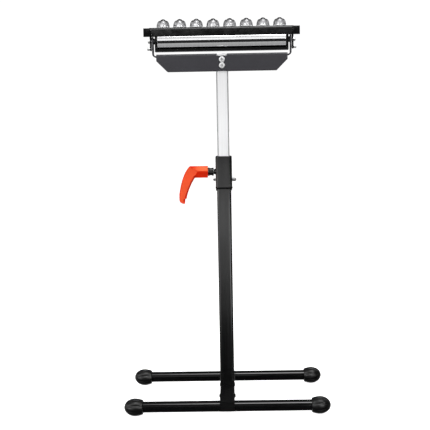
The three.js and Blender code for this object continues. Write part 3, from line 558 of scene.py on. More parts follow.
def noise(tree, scale, detail=3.0, stretch=(1, 1, 1)):
    texture = add_node(tree, "ShaderNodeTexNoise")
    texture.inputs["Scale"].default_value = scale
    texture.inputs["Detail"].default_value = detail
    tree.links.new(stretched_coordinates(tree, stretch), texture.inputs["Vector"])
    return texture.outputs["Fac"]


def remapped(tree, value, start, end, low, high, interpolation="LINEAR"):
    """Takes a value's range from start to end over to a range from low to high."""
    node = add_node(tree, "ShaderNodeMapRange", interpolation_type=interpolation)
    limits = {"From Min": start, "From Max": end, "To Min": low, "To Max": high}
    for name, limit in limits.items():
        node.inputs[name].default_value = limit
    tree.links.new(value, node.inputs["Value"])
    return node.outputs["Result"]


def tint(tree, value, first, second):
    ramp = add_node(tree, "ShaderNodeValToRGB")
    ramp.color_ramp.elements[0].position = NOISE_LOW
    ramp.color_ramp.elements[1].position = NOISE_HIGH
    ramp.color_ramp.elements[0].color = (*first, 1)
    ramp.color_ramp.elements[1].color = (*second, 1)
    tree.links.new(value, ramp.inputs["Fac"])
    return ramp.outputs["Color"]


def finish(
    name, colours, roughness, metallic, mottle, grain, bump,
    stretch=(1, 1, 1), specular=0.5, gloss_tint=(1, 1, 1),
):
    """A surface with drifting colour, uneven gloss and a fine bumped grain."""
    material = bpy.data.materials.new(name)
    material.use_nodes = True
    tree = material.node_tree
    shader = tree.nodes["Principled BSDF"]
    shader.inputs["Metallic"].default_value = metallic
    shader.inputs["Specular IOR Level"].default_value = specular
    shader.inputs["Specular Tint"].default_value = (*gloss_tint, 1)
    drift = noise(tree, mottle, 4.0, stretch)
    tree.links.new(tint(tree, drift, *colours), shader.inputs["Base Color"])
    gloss = noise(tree, mottle * GLOSS_FINENESS, 3.0, stretch)
    uneven = remapped(tree, gloss, NOISE_LOW, NOISE_HIGH, *roughness)
    tree.links.new(uneven, shader.inputs["Roughness"])
    relief = add_node(tree, "ShaderNodeBump")
    relief.inputs["Strength"].default_value = bump[0]
    relief.inputs["Distance"].default_value = bump[1]
    tree.links.new(noise(tree, grain, 2.0, stretch), relief.inputs["Height"])
    tree.links.new(relief.outputs["Normal"], shader.inputs["Normal"])
    finishes[name] = material


finishes = {}
BLACK = ((0.0035, 0.0035, 0.0037), (0.0060, 0.0060, 0.0063))
PAINT = dict(mottle=30, grain=900, bump=(0.06, 0.00008))
PLATING = dict(mottle=80, grain=900, bump=(0.03, 0.00003))
SPANGLE = dict(mottle=180, grain=1400, bump=(0.1, 0.00006))
BRUSHED = dict(mottle=60, grain=900, bump=(0.05, 0.00004), stretch=(6, 6, 0.12))
finish(
    "black_paint", BLACK, (0.10, 0.18), 0.0, **PAINT)
finish(
    "foot_paint", BLACK, (0.06, 0.11), 0.0,
    mottle=30, grain=900, bump=(0.03, 0.00005))
finish(
    "rail_paint", BLACK, (0.10, 0.18), 0.0, **PAINT, specular=1.0)
finish(
    "drawn_paint", ((0.0020, 0.0020, 0.0021), (0.0040, 0.0040, 0.0042)), (0.16, 0.25), 0.0,
    mottle=120, grain=420, bump=(0.10, 0.00012), stretch=(1, 1, 0.012))
finish(
    "dull_black", ((0.0025, 0.0025, 0.0026), (0.0040, 0.0040, 0.0042)), (0.55, 0.70), 0.0,
    mottle=60, grain=900, bump=(0.1, 0.0001), specular=0.1)
finish(
    "weld_black", ((0.002, 0.002, 0.002), (0.004, 0.004, 0.004)), (0.60, 0.80), 0.0,
    mottle=300, grain=900, bump=(0.4, 0.0004), specular=0.1)
finish(
    "grey_paint", ((0.049, 0.048, 0.055), (0.054, 0.053, 0.061)), (0.255, 0.265), 0.0,
    mottle=35, grain=1500, bump=(0.06, 0.00005))
finish(
    "black_plastic", ((0.005, 0.005, 0.005), (0.009, 0.009, 0.009)), (0.28, 0.42), 0.0,
    mottle=60, grain=1700, bump=(0.2, 0.0001))
finish(
    "orange_plastic", ((0.86, 0.014, 0.001), (0.94, 0.020, 0.002)), (0.34, 0.46), 0.0,
    mottle=50, grain=1500, bump=(0.15, 0.0001), specular=1.0, gloss_tint=(1.0, 1.0, 0.4))
finish(
    "bright_steel", ((0.90, 0.90, 0.91), (0.96, 0.96, 0.97)), (0.40, 0.55), 0.3, **BRUSHED)
# Darker steel for the inner tube's rounded corners: painted shade that stands in for their darker reflections
finish(
    "painted_shade_corner_steel", ((0.42, 0.42, 0.43), (0.50, 0.50, 0.51)), (0.40, 0.55), 0.3, **BRUSHED)
finish(
    "roller_steel", ((0.80, 0.80, 0.81), (0.90, 0.90, 0.91)), (0.06, 0.13), 1.0,
    mottle=60, grain=700, bump=(0.05, 0.00004), stretch=(6, 0.3, 0.3))
finish(
    "chrome", ((0.84, 0.84, 0.85), (0.90, 0.90, 0.91)), (0.03, 0.09), 1.0, **PLATING)
finish(
    "satin_chrome", ((0.52, 0.52, 0.53), (0.60, 0.60, 0.61)), (0.38, 0.44), 1.0, **PLATING)
finish(
    "ball_chrome", ((0.38, 0.38, 0.39), (0.44, 0.44, 0.45)), (0.12, 0.18), 1.0, **PLATING)
finish(
    "zinc", ((0.62, 0.63, 0.64), (0.80, 0.80, 0.79)), (0.24, 0.40), 1.0, **SPANGLE)
finish(
    "bright_zinc", ((0.84, 0.85, 0.86), (0.95, 0.95, 0.95)), (0.40, 0.55), 0.5, **SPANGLE)
# Dark zinc: the collar bolts' own finish, and painted shade in the pan screws' cross recesses
finish(
    "dull_zinc_and_recess_shade", ((0.20, 0.20, 0.21), (0.36, 0.36, 0.36)), (0.34, 0.50), 1.0, **SPANGLE)


# Base

def cap_section(share):
    """Distance from the rim and radius of the cap at a share of its outline."""
    low, high = extent("front_right_foot_cap")
    length = high.x - low.x
    barrel = length - CAP_NOSE_LENGTH
    if share < CAP_BARREL_SHARE:
        along = share / CAP_BARREL_SHARE
        swell = math.sin(along * math.pi / 2)
        return barrel * along, CAP_RIM_RADIUS + (CAP_RADIUS - CAP_RIM_RADIUS) * swell
    angle = (share - CAP_BARREL_SHARE) / (1 - CAP_BARREL_SHARE) * math.pi / 2
    return barrel + CAP_NOSE_LENGTH * math.sin(angle), CAP_RADIUS * math.cos(angle)


def foot_cap():
    """Fluted cap along +X with its rim at x = 0 and the tube's axis on the X axis."""
    low, high = extent("front_right_foot_cap")
    length = high.x - low.x
    socket_end = length - CAP_END_WALL
    socket = FOOT_TUBE_RADIUS + FIT
    edge = CAP_SOCKET_EDGE
    profile = [(0, socket_end), (socket, socket_end), (socket, edge), (socket + edge, 0)]
    profile += [(CAP_RIM_RADIUS - CAP_RIM_ROUND, 0)]
    stations = [cap_section(i / CAP_STEPS) for i in range(1, CAP_STEPS)]
    profile += [(radius, x) for x, radius in stations] + [(0, length)]
    bm = lathe("x", profile, CAP_SIDES)
    for vert in bm.verts:
        x, y, z = vert.co
        radius = math.hypot(y, z)
        if radius > socket + CAP_SKIN or x > socket_end + CAP_SKIN:
            angle = math.atan2(z, y)
            crest = 0.5 - 0.5 * math.cos(CAP_LOBES * angle)
            fade = math.sin(math.pi * min(max(x / length, 0), 1)) ** CAP_GROOVE_FADE
            factor = 1 - CAP_GROOVE_DEPTH * fade * crest ** CAP_GROOVE_SHARPNESS / CAP_RADIUS
            y, z = y * factor, z * factor
        vert.co = (x, y, max(z, -FOOT_AXIS_Z))
    return bm


def foot_block(end):
    """Block round the middle of a foot tube, with a square stub that runs into the crossbar."""
    low, high = extent(f"{end}_foot_tube")
    bar_low, bar_high = extent("base_crossbar")
    width = bar_high.x - bar_low.x
    height = bar_high.z - bar_low.z
    side = -1 if end == "front" else 1
    inner_face = side * (FOOT_Y - FOOT_BLOCK_DEPTH / 2)
    outer_face = side * (FOOT_Y + FOOT_BLOCK_DEPTH / 2)
    start, stop = sorted((inner_face, outer_face))
    edge = FOOT_BLOCK_EDGE
    loops = []
    for at, inset in ((start, edge), (start + edge, 0), (stop - edge, 0), (stop, edge)):
        corner = CROSSBAR_CORNER - inset
        foot_corner = FOOT_BLOCK_CORNER - inset
        half = width / 2 - inset
        top = height / 2 - inset
        bottom = FOOT_BLOCK_LIFT - FOOT_TUBE_RADIUS + inset
        outline = arc(half - corner, top - corner, corner, 0, 90)
        outline += arc(corner - half, top - corner, corner, 90, 180)
        outline += arc(foot_corner - half, bottom + foot_corner, foot_corner, 180, 270)
        outline += arc(half - foot_corner, bottom + foot_corner, foot_corner, 270, 360)
        loops.append([place("y", u, v, at) for u, v in outline])
    tube_hole = moved(rod("x", FOOT_TUBE_RADIUS, -width, width, ROUND_SIDES), y=side * FOOT_Y)
    middle = cut(loft(loops), tube_hole)
    inset = 2 * CROSSBAR_WALL + 2 * FIT
    stub_end = high.y if end == "front" else low.y
    stub = rect_tube(
        "y", width - inset, height - inset, STUB_WALL, CROSSBAR_CORNER - CROSSBAR_WALL,
        *sorted((inner_face, stub_end)))
    return moved(merged(middle, stub), z=FOOT_AXIS_Z)


def foot_tube(end):
    """Round tube along X with a shallow notch under its middle."""
    half = extent(f"{end}_foot_tube")[1].x
    side = -1 if end == "front" else 1
    bore = FOOT_TUBE_RADIUS - FOOT_TUBE_WALL
    tube = lathe("x", [
        (bore, -half), (FOOT_TUBE_RADIUS, -half), (FOOT_TUBE_RADIUS, half), (bore, half),
    ], closed=True)
    notch = rod("y", FOOT_NOTCH_RADIUS, -2 * FOOT_TUBE_RADIUS, 2 * FOOT_TUBE_RADIUS)
    moved(notch, z=FOOT_NOTCH_DEPTH - FOOT_TUBE_RADIUS - FOOT_NOTCH_RADIUS)
    return moved(cut(tube, notch), y=side * FOOT_Y, z=FOOT_AXIS_Z)


def crossbar():
    low, high = extent("base_crossbar")
    tube = rect_tube("y", high.x - low.x, high.z - low.z, CROSSBAR_WALL, CROSSBAR_CORNER, low.y, high.y)
    return moved(tube, z=FOOT_AXIS_Z)


def cross_fasteners(end):
    bolt = centre(f"{end}_cross_bolt")
    seat = extent("base_crossbar")[1].x + FIT
    shank = [(0, -2 * seat), (CROSS_BOLT_RADIUS, -2 * seat), (CROSS_BOLT_RADIUS, 0)]
    head = dome(CROSS_BOLT_HEAD_RADIUS, CROSS_BOLT_HEAD_HEIGHT, 0)
    rim = [(CROSS_BOLT_HEAD_RADIUS - CROSS_BOLT_RIM, 0)]
    bolt_mesh = turned(lathe("x", shank + rim + head[1:], SMALL_SIDES), 180)
    bolt_mesh = moved(bolt_mesh, -seat, bolt.y, bolt.z)
    put(f"{end}_carriage_bolt", bolt_mesh, "base", "zinc", f"{end}_cross_bolt", look="black_paint")
    bore = [(0, CAP_NUT_BORE), (CROSS_BOLT_RADIUS + FIT, CAP_NUT_BORE), (CROSS_BOLT_RADIUS + FIT, 0)]
    nut_mesh = lathe("x", bore + rim + head[1:], SMALL_SIDES)
    nut_mesh = moved(nut_mesh, seat, bolt.y, bolt.z)
    put(f"{end}_cap_nut", nut_mesh, "base", "zinc", f"{end}_cross_nut", look="black_paint")


def build_base():
    for end, side in (("front", -1), ("rear", 1)):
        put(f"{end}_foot", foot_tube(end), "base", "black_paint", f"{end}_foot_tube", look="foot_paint")
        put(f"{end}_foot_block", foot_block(end), "base", "black_paint", look="dull_black")
        for hand in ("left", "right"):
            node = f"{end}_{hand}_foot_cap"
            low, high = extent(node)
            cap = foot_cap()
            if hand == "left":
                turned(cap, 180)
            rim = high.x if hand == "left" else low.x
            moved(cap, rim, side * FOOT_Y, FOOT_AXIS_Z)
            put(f"{end}_{hand}_cap", cap, "base", "black_plastic", node)
        cross_fasteners(end)
    put("crossbar", crossbar(), "base", "black_paint", "base_crossbar", look="dull_black")


# Post, collar and clamp

def weld_bead(half, z, radius):
    """A rippled bead round a square tube."""
    path = rounded_rect(2 * half, 2 * half, POST_CORNER, WELD_CORNER_STEPS)
    fine = []
    for (x0, y0), (x1, y1) in zip(path, path[1:] + path[:1]):
        steps = max(1, round(math.hypot(x1 - x0, y1 - y0) / WELD_STEP))
        fine += [(x0 + (x1 - x0) * i / steps, y0 + (y1 - y0) * i / steps) for i in range(steps)]
    loops = []
    for index, (x, y) in enumerate(fine):
        outward = Vector((x, y, 0)).normalized()
        ripple = 0.86 + 0.14 * math.sin(index * 1.7) + 0.12 * math.sin(index * 0.31 + 1)
        loop = []
        for k in range(WELD_SIDES):
            angle = 2 * math.pi * k / WELD_SIDES
            offset = outward * math.cos(angle) + Vector((0, 0, 1)) * math.sin(angle)
            loop.append(Vector((x, y, z)) + offset * radius * ripple)
        loops.append(loop)
    return loft(loops, closed=True)


def build_post():
    low, high = extent("outer_post")
    size = high.x - low.x
    screw_z = centre("collar_screw_left").z
    post = rect_tube("z", size, size, POST_WALL, POST_CORNER, low.z, high.z)
    pad_hole = moved(rod("x", PAD_RADIUS + FIT, -size, 0), z=CLAMP_Z)
    screw_hole = moved(rod("x", COLLAR_SCREW_RADIUS + FIT, -size, size), z=screw_z)
    put("post_tube", cut(post, pad_hole, screw_hole), "base", "black_paint", "outer_post", look="drawn_paint")
    weld = weld_bead(size / 2, low.z + WELD_LIFT, WELD_RADIUS)
    put("post_weld", weld, "base", "black_paint", look="weld_black")

    low, high = extent("guide_bushing")
    inner_low, inner_high = extent("inner_post")
    wall = (size - (inner_high.x - inner_low.x)) / 2 - FIT
    bushing = rect_tube("z", size, size, wall, POST_CORNER, low.z, high.z, BUSHING_EDGE)
    put("post_bushing", bushing, "base", "black_plastic", "guide_bushing")


def collar_mesh():
    low, high = extent("clamp_collar")
    half = high.x
    top = high.z
    bottom = low.z + COLLAR_TAB_DROP
    bore_half = extent("outer_post")[1].x + FIT
    bore = rounded_rect(2 * bore_half, 2 * bore_half, POST_CORNER)
    layers = [(rounded_rect(2 * half - 1, 2 * half - 1, COLLAR_CORNER), bottom)]
    layers.append((rounded_rect(2 * half, 2 * half, COLLAR_CORNER), bottom + 0.5))
    reach = half - bore_half - 0.5
    for i in range(CORNER_STEPS + 1):
        angle = math.pi / 2 * i / CORNER_STEPS
        inset = reach * (1 - math.cos(angle))
        level = top - COLLAR_TOP_ROUND * (1 - math.sin(angle))
        layers.append((rounded_rect(2 * (half - inset), 2 * (half - inset), COLLAR_CORNER - inset), level))
    layers.append((bore, top))
    layers.append((bore, bottom))
    sleeve = loft([[place("z", u, v, at) for u, v in ring] for ring, at in layers], closed=True)
    additions = []
    for side in (-1, 1):
        xs = sorted((side * bore_half, side * (half - 0.1)))
        ys = (-COLLAR_TAB_WIDTH / 2, COLLAR_TAB_WIDTH / 2)
        additions.append(softened(block(xs, ys, (low.z, bottom + 3)), PLATE_EDGE))
    boss_end = half + BOSS_LENGTH
    boss = lathe("x", [
        (0, 1 - half), (BOSS_RADIUS, 1 - half), (BOSS_RADIUS, -half - 0.4), (BOSS_TIP_RADIUS, 0.5 - boss_end),
        (BOSS_TIP_RADIUS - 0.5, -boss_end), (0, -boss_end),
    ], SMALL_SIDES)
    additions.append(moved(boss, z=CLAMP_Z))
    stud_hole = moved(rod("x", STUD_RADIUS + FIT, -boss_end - 1, 0), z=CLAMP_Z)
    screw_z = centre("collar_screw_left").z
    screw_hole = moved(rod("x", COLLAR_SCREW_RADIUS + FIT, -2 * half, 2 * half), z=screw_z)
    return cut(joined(sleeve, *additions), stud_hole, screw_hole)


def collar_screw(hand):
    """Hexagon screw with a domed end, seated on the collar's side."""
    node = f"collar_screw_{hand}"
    low, high = extent(node)
    seat = extent("clamp_collar")[1].x + FIT
    reach = high.x if hand == "right" else -low.x
    head_radius = (high.y - low.y) / 2
    flat_radius = head_radius * math.cos(math.pi / 6)
    shank_start = min(abs(low.x), abs(high.x))
    flat_end = reach - COLLAR_SCREW_DOME
    head = hex_prism("x", head_radius, seat, flat_end, 0.4)
    crown = lathe("x", [(0, seat + 1), (flat_radius - 0.3, seat + 1)] + dome(
        flat_radius - 0.3, COLLAR_SCREW_DOME, flat_end), SMALL_SIDES)
    shank = rod("x", COLLAR_SCREW_RADIUS, shank_start, seat + 1)
    screw = moved(merged(head, crown, shank), z=centre(node).z)
    if hand == "left":
        turned(screw, 180)
    put(f"collar_bolt_{hand}", screw, "base", "zinc", node, look="dull_zinc_and_recess_shade")


def lever_hub():
    low, high = extent("lever_hub")
    radius = high.y
    length = high.x - low.x
    bore = STUD_RADIUS + FIT
    groove = radius - HUB_GROOVE
    floor = HUB_FLANGE + HUB_SLOPE
    profile = [(bore, 0)] + arc(radius - HUB_EDGE, HUB_EDGE, HUB_EDGE, -90, 0, EDGE_STEPS)
    profile += [(radius, HUB_FLANGE), (groove, floor)]
    profile += [(groove, length - floor), (radius, length - HUB_FLANGE)]
    profile += arc(radius - HUB_EDGE, length - HUB_EDGE, HUB_EDGE, 0, 90, 2) + [(bore, length)]
    return moved(lathe("x", profile, closed=True), x=low.x, z=CLAMP_Z)


def lever_edges():
    """Outer and inner edge of the lever: u runs out from the hub's face, v is the height over its axis."""
    low, high = extent("clamp_lever")
    reach = high.x - low.x
    drop = CLAMP_Z - low.z
    top = LEVER_HUB_HALF_HEIGHT
    inner = reach - LEVER_ARM_WIDTH
    grip_top = LEVER_GRIP_TOP - drop
    grip_inside = LEVER_GRIP_INSIDE - drop
    tip_top = LEVER_TIP_ROUND - drop
    step_top = LEVER_STEP_HEIGHT - drop
    tip_lead = tip_top + LEVER_TIP_LEAD
    nose = inner + LEVER_STEP_WIDTH
    step_foot = (nose, step_top - LEVER_STEP_SLOPE)
    outer_bend = (reach - LEVER_BEND_SAG, top - LEVER_BEND_FALL)
    inner_bend = (inner - LEVER_INSIDE_SAG, -top - LEVER_INSIDE_FALL)
    outer_edge = [(0, top)]
    outer_edge += line((0, top), (LEVER_TOP_LENGTH, top), LEVER_HUB_STEPS)
    outer_edge += curve((LEVER_TOP_LENGTH, top), outer_bend, (reach, grip_top), LEVER_BEND_STEPS)
    outer_edge += line((reach, grip_top), (reach, tip_lead), LEVER_GRIP_STEPS)
    outer_edge += line((reach, tip_lead), (reach, tip_top), LEVER_STEP_STEPS)
    outer_edge += curve((reach, tip_top), (reach, -drop), (nose + LEVER_NOSE, -drop), LEVER_TIP_STEPS)
    inner_edge = [(0, -top)]
    inner_edge += line((0, -top), (LEVER_UNDERSIDE, -top), LEVER_HUB_STEPS)
    inner_edge += curve((LEVER_UNDERSIDE, -top), inner_bend, (inner, grip_inside), LEVER_BEND_STEPS)
    inner_edge += line((inner, grip_inside), (inner, step_top), LEVER_GRIP_STEPS)
    inner_edge += line((inner, step_top), step_foot, LEVER_STEP_STEPS)
    inner_edge += line(step_foot, (nose + LEVER_STEP_SLOPE, LEVER_TIP_RISE - drop), LEVER_TIP_STEPS)
    return outer_edge, inner_edge


def lever_section(width, hub_share):
    """Half depths across the lever: a ridge on the hub, a flat face with chamfered edges on the arm."""
    def between(arm, hub):
        return arm + (hub - arm) * hub_share

    half = between(LEVER_HALF_THICKNESS, LEVER_HUB_HALF_DEPTH)
    outer = between(min(LEVER_OUTER_CHAMFER, width / 3), LEVER_RIDGE_DROP)
    chamfer = min(LEVER_INNER_CHAMFER, width / 3)
    inner = between(chamfer, width - LEVER_RIDGE_DROP - LEVER_RIDGE_WIDTH)
    outer_half = between(LEVER_HALF_THICKNESS - outer, LEVER_HUB_TOP_HALF_DEPTH)
    inner_half = between(LEVER_HALF_THICKNESS - chamfer, LEVER_HUB_BOTTOM_HALF_DEPTH)
    front = [(0, outer_half), (outer, half), (width - inner, half), (width, inner_half)]
    return [(s, -y) for s, y in front] + front[::-1]


def lever_arm():
    """Grip whose faceted hub runs into a flat curved arm."""
    loops = []
    fade_start = LEVER_HUB_STEPS + 1 - len(LEVER_HUB_FADE)
    for index, ((u0, v0), (u1, v1)) in enumerate(zip(*lever_edges())):
        if index < fade_start:
            hub_share = 1.0
        elif index <= LEVER_HUB_STEPS:
            hub_share = LEVER_HUB_FADE[index - fade_start]
        else:
            hub_share = 0.0
        width = math.hypot(u1 - u0, v1 - v0)
        across_u = (u1 - u0) / width
        across_v = (v1 - v0) / width
        section = lever_section(width, hub_share)
        loops.append([Vector((-u0 - across_u * s, y, v0 + across_v * s)) for s, y in section])
    return loft(loops)


def lever_mesh():
    bore = rod("x", STUD_RADIUS + FIT, -STUD_IN_LEVER - FIT, 1)
    arm = softened(lever_arm(), LEVER_EDGE, LEVER_EDGE_ANGLE)
    return moved(cut(arm, bore), x=extent("clamp_lever")[1].x, z=CLAMP_Z)


def build_clamp():
    put("collar", collar_mesh(), "base", "black_paint", "clamp_collar", look="drawn_paint")
    half = extent("outer_post")[1].x + COLLAR_WELD_SPREAD
    level = extent("clamp_collar")[0].z + COLLAR_TAB_DROP - COLLAR_WELD_DROP
    weld = weld_bead(half, level, COLLAR_WELD_RADIUS)
    put("collar_weld", weld, "base", "black_paint", look="weld_black")
    collar_screw("left")
    collar_screw("right")
    put("clamp_spool", lever_hub(), "lever", "black_plastic", "lever_hub", look="foot_paint")
    put("clamp_grip", lever_mesh(), "lever", "orange_plastic", "clamp_lever")


# Mast

def build_inner_post():
    low, high = extent("inner_post")
    size = high.x - low.x
    tube = rect_tube("z", size, size, INNER_WALL, INNER_CORNER, low.z, high.z)
    piece = put("inner_tube", tube, "mast", "bright_steel", "inner_post")
    flat = size / 2 - INNER_CORNER
    # The rounded corners take a darker steel: painted shade in place of their darker reflections
    relook(piece, "painted_shade_corner_steel", lambda point: min(abs(point.x), abs(point.y)) > flat)


def channel_outline(half, low, high, sheet, bend):
    """Sheet bent to a channel that opens downwards."""
    bore_bend = max(bend - sheet, LEAST_ROUND)
    outer = [(-half, low)] + arc(-half + bend, high - bend, bend, 180, 90)
    outer += arc(half - bend, high - bend, bend, 90, 0) + [(half, low)]
    bore_half = half - sheet
    bore_high = high - sheet
    bore = [(bore_half, low)]
    bore += arc(bore_half - bore_bend, bore_high - bore_bend, bore_bend, 0, 90)
    bore += arc(bore_bend - bore_half, bore_high - bore_bend, bore_bend, 90, 180)
    return outer + bore + [(-bore_half, low)]


def leg_mesh(web_bottom):
    """Strap that laps under the yoke's web, bends up on the right and ends round the axle."""
    outer_x = extent("head_yoke")[1].x
    inner_x = outer_x - LEG_THICKNESS
    bend_x = inner_x - LEG_BEND
    bend_z = web_bottom + LEG_BEND
    half = LEG_WIDTH / 2
    start = YOKE_HALF_LENGTH - LEG_LAP
    sections = [((start, web_bottom), (start, web_bottom - LEG_THICKNESS), half)]
    inner_arc = arc(bend_x, bend_z, LEG_BEND, -90, 0, LEG_BEND_STEPS)
    outer_arc = arc(bend_x, bend_z, LEG_BEND + LEG_THICKNESS, -90, 0, LEG_BEND_STEPS)
    sections += [(inner, outer, half) for inner, outer in zip(inner_arc, outer_arc)]
    for i in range(LEG_END_STEPS):
        angle = math.pi / 2 * i / LEG_END_STEPS
        level = AXLE_Z + half * math.sin(angle)
        sections.append(((inner_x, level), (outer_x, level), half * math.cos(angle)))
    loops = []
    for (x0, z0), (x1, z1), width in sections:
        corners = [(x0, -width, z0), (x1, -width, z1), (x1, width, z1), (x0, width, z0)]
        loops.append([Vector(corner) for corner in corners])
    return softened(loft(loops), LEG_EDGE, SHEET_ANGLE)


def yoke_mesh():
    opening = extent("inner_post")[1].x + FIT
    top = extent("inner_post")[1].z
    half = extent("head_yoke")[1].y
    yoke_half = YOKE_HALF_LENGTH
    bottom = top - YOKE_DROP
    outline = channel_outline(half, bottom, top, YOKE_SHEET, YOKE_BEND)
    channel = prism("x", outline, -yoke_half, yoke_half)
    tools = []
    for side in (-1, 1):
        inner = side * (yoke_half - YOKE_CHAMFER)
        outer = side * yoke_half
        beyond = side * (yoke_half + YOKE_OVERCUT)
        wedge = [
            (inner, bottom), (outer, bottom + YOKE_CHAMFER), (beyond, bottom + YOKE_CHAMFER),
            (beyond, bottom - YOKE_OVERCUT), (inner, bottom - YOKE_OVERCUT),
        ]
        tools.append(prism("y", wedge, -2 * half, 2 * half))
    tools.append(block((-opening, opening), (-opening, opening), (bottom, top + 1)))
    notch = YOKE_NOTCH_WIDTH / 2
    tools.append(block((-notch, notch), (-2 * half, 0), (top - YOKE_NOTCH_DEPTH, top + 1)))
    sheet = softened(cut(channel, *tools), YOKE_EDGE, PLATE_ANGLE)
    web_bottom = top - YOKE_SHEET
    right = leg_mesh(web_bottom)
    left = turned(leg_mesh(web_bottom), 180)
    return merged(sheet, right, left)


def yoke_screw(level):
    """Pan head screw with a cross recess, its head towards the front, and its nut behind."""
    node = f"yoke_screw_{level}"
    low, high = extent(node)
    seat = low.y + YOKE_SCREW_HEAD_HEIGHT
    z = centre(node).z
    radius = YOKE_SCREW_HEAD_RADIUS
    crown = low.y
    head = [(radius - 0.3, seat), (radius, seat - 0.4), (radius, seat - 1)]
    for u, v in arc(radius - PAN_ROUND, 0, PAN_ROUND, 15, 90, 6):
        head.append((u, seat - 1 - (YOKE_SCREW_HEAD_HEIGHT - 1.2) * v / PAN_ROUND))
    head.append((0, crown))
    profile = [(0, high.y), (YOKE_SCREW_RADIUS, high.y), (YOKE_SCREW_RADIUS, seat)] + head
    length = (-YOKE_RECESS_LENGTH / 2, YOKE_RECESS_LENGTH / 2)
    width = (-YOKE_RECESS_WIDTH / 2, YOKE_RECESS_WIDTH / 2)
    depth = (low.y - 1, low.y + YOKE_RECESS_DEPTH)
    screw = cut(lathe("y", profile), block(length, depth, width), block(width, depth, length))
    piece = put(f"pan_screw_{level}", moved(screw, z=z), "mast", "zinc", node, look="bright_zinc")

    # Faces deep in the cross recess get the dark zinc: painted shade in the recess
    def in_painted_recess_shade(point):
        across = math.hypot(point.x, point.z - z)
        deep = crown + 0.5 < point.y < crown + YOKE_RECESS_DEPTH + 0.01
        return deep and across < YOKE_RECESS_LENGTH / 2 - 0.05

    relook(piece, "dull_zinc_and_recess_shade", in_painted_recess_shade)
    low, high = extent(f"yoke_nut_{level}")
    nut = hex_prism("y", high.x, low.y, high.y)
    put(f"pan_screw_nut_{level}", moved(nut, z=z), "mast", "zinc", f"yoke_nut_{level}")


def build_mast():
    build_inner_post()
    put("yoke", yoke_mesh(), "mast", "grey_paint", "head_yoke")
    yoke_screw("upper")
    yoke_screw("lower")


# Head

def roller_frame():
    low, high = extent("roller_frame")
    half = high.y
    end_outer = high.x
    end_inner = end_outer - FRAME_END_PLATE
    channel = channel_outline(FRAME_CHANNEL_WIDTH / 2, -low.z - FRAME_LIP, -low.z, FRAME_SHEET, FRAME_BEND)
    upright = [(y, -z) for y, z in channel]
    shells = [softened(prism("x", upright, -end_inner, end_inner), SHEET_EDGE, SHEET_ANGLE)]
    corner = FRAME_CORNER
    plate = [(half, high.z), (-half, high.z)]
    plate += arc(corner - half, low.z + corner, corner, 180, 270)
    plate += arc(half - corner, low.z + corner, corner, 270, 360)
    for start, end in ((end_inner, end_outer), (-end_outer, -end_inner)):
        shells.append(softened(prism("x", plate, start, end), PLATE_EDGE, PLATE_ANGLE))
    return merged(*shells)


def ball_bar():
    low, high = extent("ball_bar")
    outline = channel_outline(high.y, low.z, high.z, BAR_SHEET, BAR_BEND)
    return softened(prism("x", outline, low.x, high.x), SHEET_EDGE, SHEET_ANGLE)


def side_plate(hand):
    low, high = extent(f"side_plate_{hand}")
    shoulder = extent("ball_bar")[0].z
    half = high.y
    top = SIDE_PLATE_TOP_CORNER
    foot = SIDE_PLATE_FOOT
    corner = SIDE_PLATE_CORNER
    plate = [(half, shoulder)] + arc(half - top, high.z - top, top, 0, 90, 5)
    plate += arc(top - half, high.z - top, top, 90, 180, 5) + [(-half, shoulder), (-foot, AXLE_Z)]
    plate += arc(corner - foot, low.z + corner, corner, 180, 270)
    plate += arc(foot - corner, low.z + corner, corner, 270, 360)
    plate += [(foot, AXLE_Z)]
    sheet = softened(prism("x", plate, low.x, high.x), PLATE_EDGE, PLATE_ANGLE)
    put(f"end_plate_{hand}", sheet, "head", "black_paint", f"side_plate_{hand}")


def ring_mesh(node, edge):
    low, high = extent(node)
    radius = high.y
    bore = AXLE_RADIUS + FIT
    profile = [
        (bore, low.x), (radius - edge, low.x), (radius, low.x + edge), (radius, high.x - edge),
        (radius - edge, high.x), (bore, high.x),
    ]
    return moved(lathe("x", profile, SMALL_SIDES, closed=True), z=AXLE_Z)


def head_fasteners(hand):
    node = f"axle_nut_{hand}"
    low, high = extent(node)
    nut = hex_prism("x", high.y, low.x, high.x, NUT_EDGE)
    put(f"axle_lock_nut_{hand}", moved(nut, z=AXLE_Z), "head", "zinc", node)
    node = f"lock_screw_{hand}"
    low, high = extent(node)
    z = centre(node).z
    if hand == "right":
        head_start = high.x - LOCK_SCREW_HEAD_HEIGHT
        head = hex_prism("x", high.y, head_start, high.x, LOCK_SCREW_EDGE)
        shank = rod("x", LOCK_SCREW_RADIUS, low.x, head_start + 1)
    else:
        head_start = low.x + LOCK_SCREW_HEAD_HEIGHT
        head = hex_prism("x", high.y, low.x, head_start, LOCK_SCREW_EDGE)
        shank = rod("x", LOCK_SCREW_RADIUS, head_start - 1, high.x)
    put(f"stop_bolt_{hand}", moved(merged(head, shank), z=z), "head", "zinc", node)
    spacer = ring_mesh(f"axle_spacer_{hand}", NUT_EDGE)
    put(f"axle_washer_{hand}", spacer, "head", "black_plastic", f"axle_spacer_{hand}")


def edge_guide():
    low, high = extent("edge_guide")
    middle = (low + high) / 2
    tube = rect_tube("x", high.y - low.y, high.z - low.z, GUIDE_WALL, GUIDE_CORNER, low.x, high.x)
    put("guide_bar", moved(tube, y=middle.y, z=middle.z), "head", "black_paint", "edge_guide")
    for hand in ("left", "right"):
        node = f"edge_guide_plug_{hand}"
        low, high = extent(node)
        outline = rounded_rect(high.y - low.y, high.z - low.z, PLUG_CORNER)
        plug = softened(prism("x", outline, low.x, high.x), PLUG_EDGE, SHEET_ANGLE)
        middle = (low + high) / 2
        put(f"guide_bar_plug_{hand}", moved(plug, y=middle.y, z=middle.z), "head", "black_plastic", node)


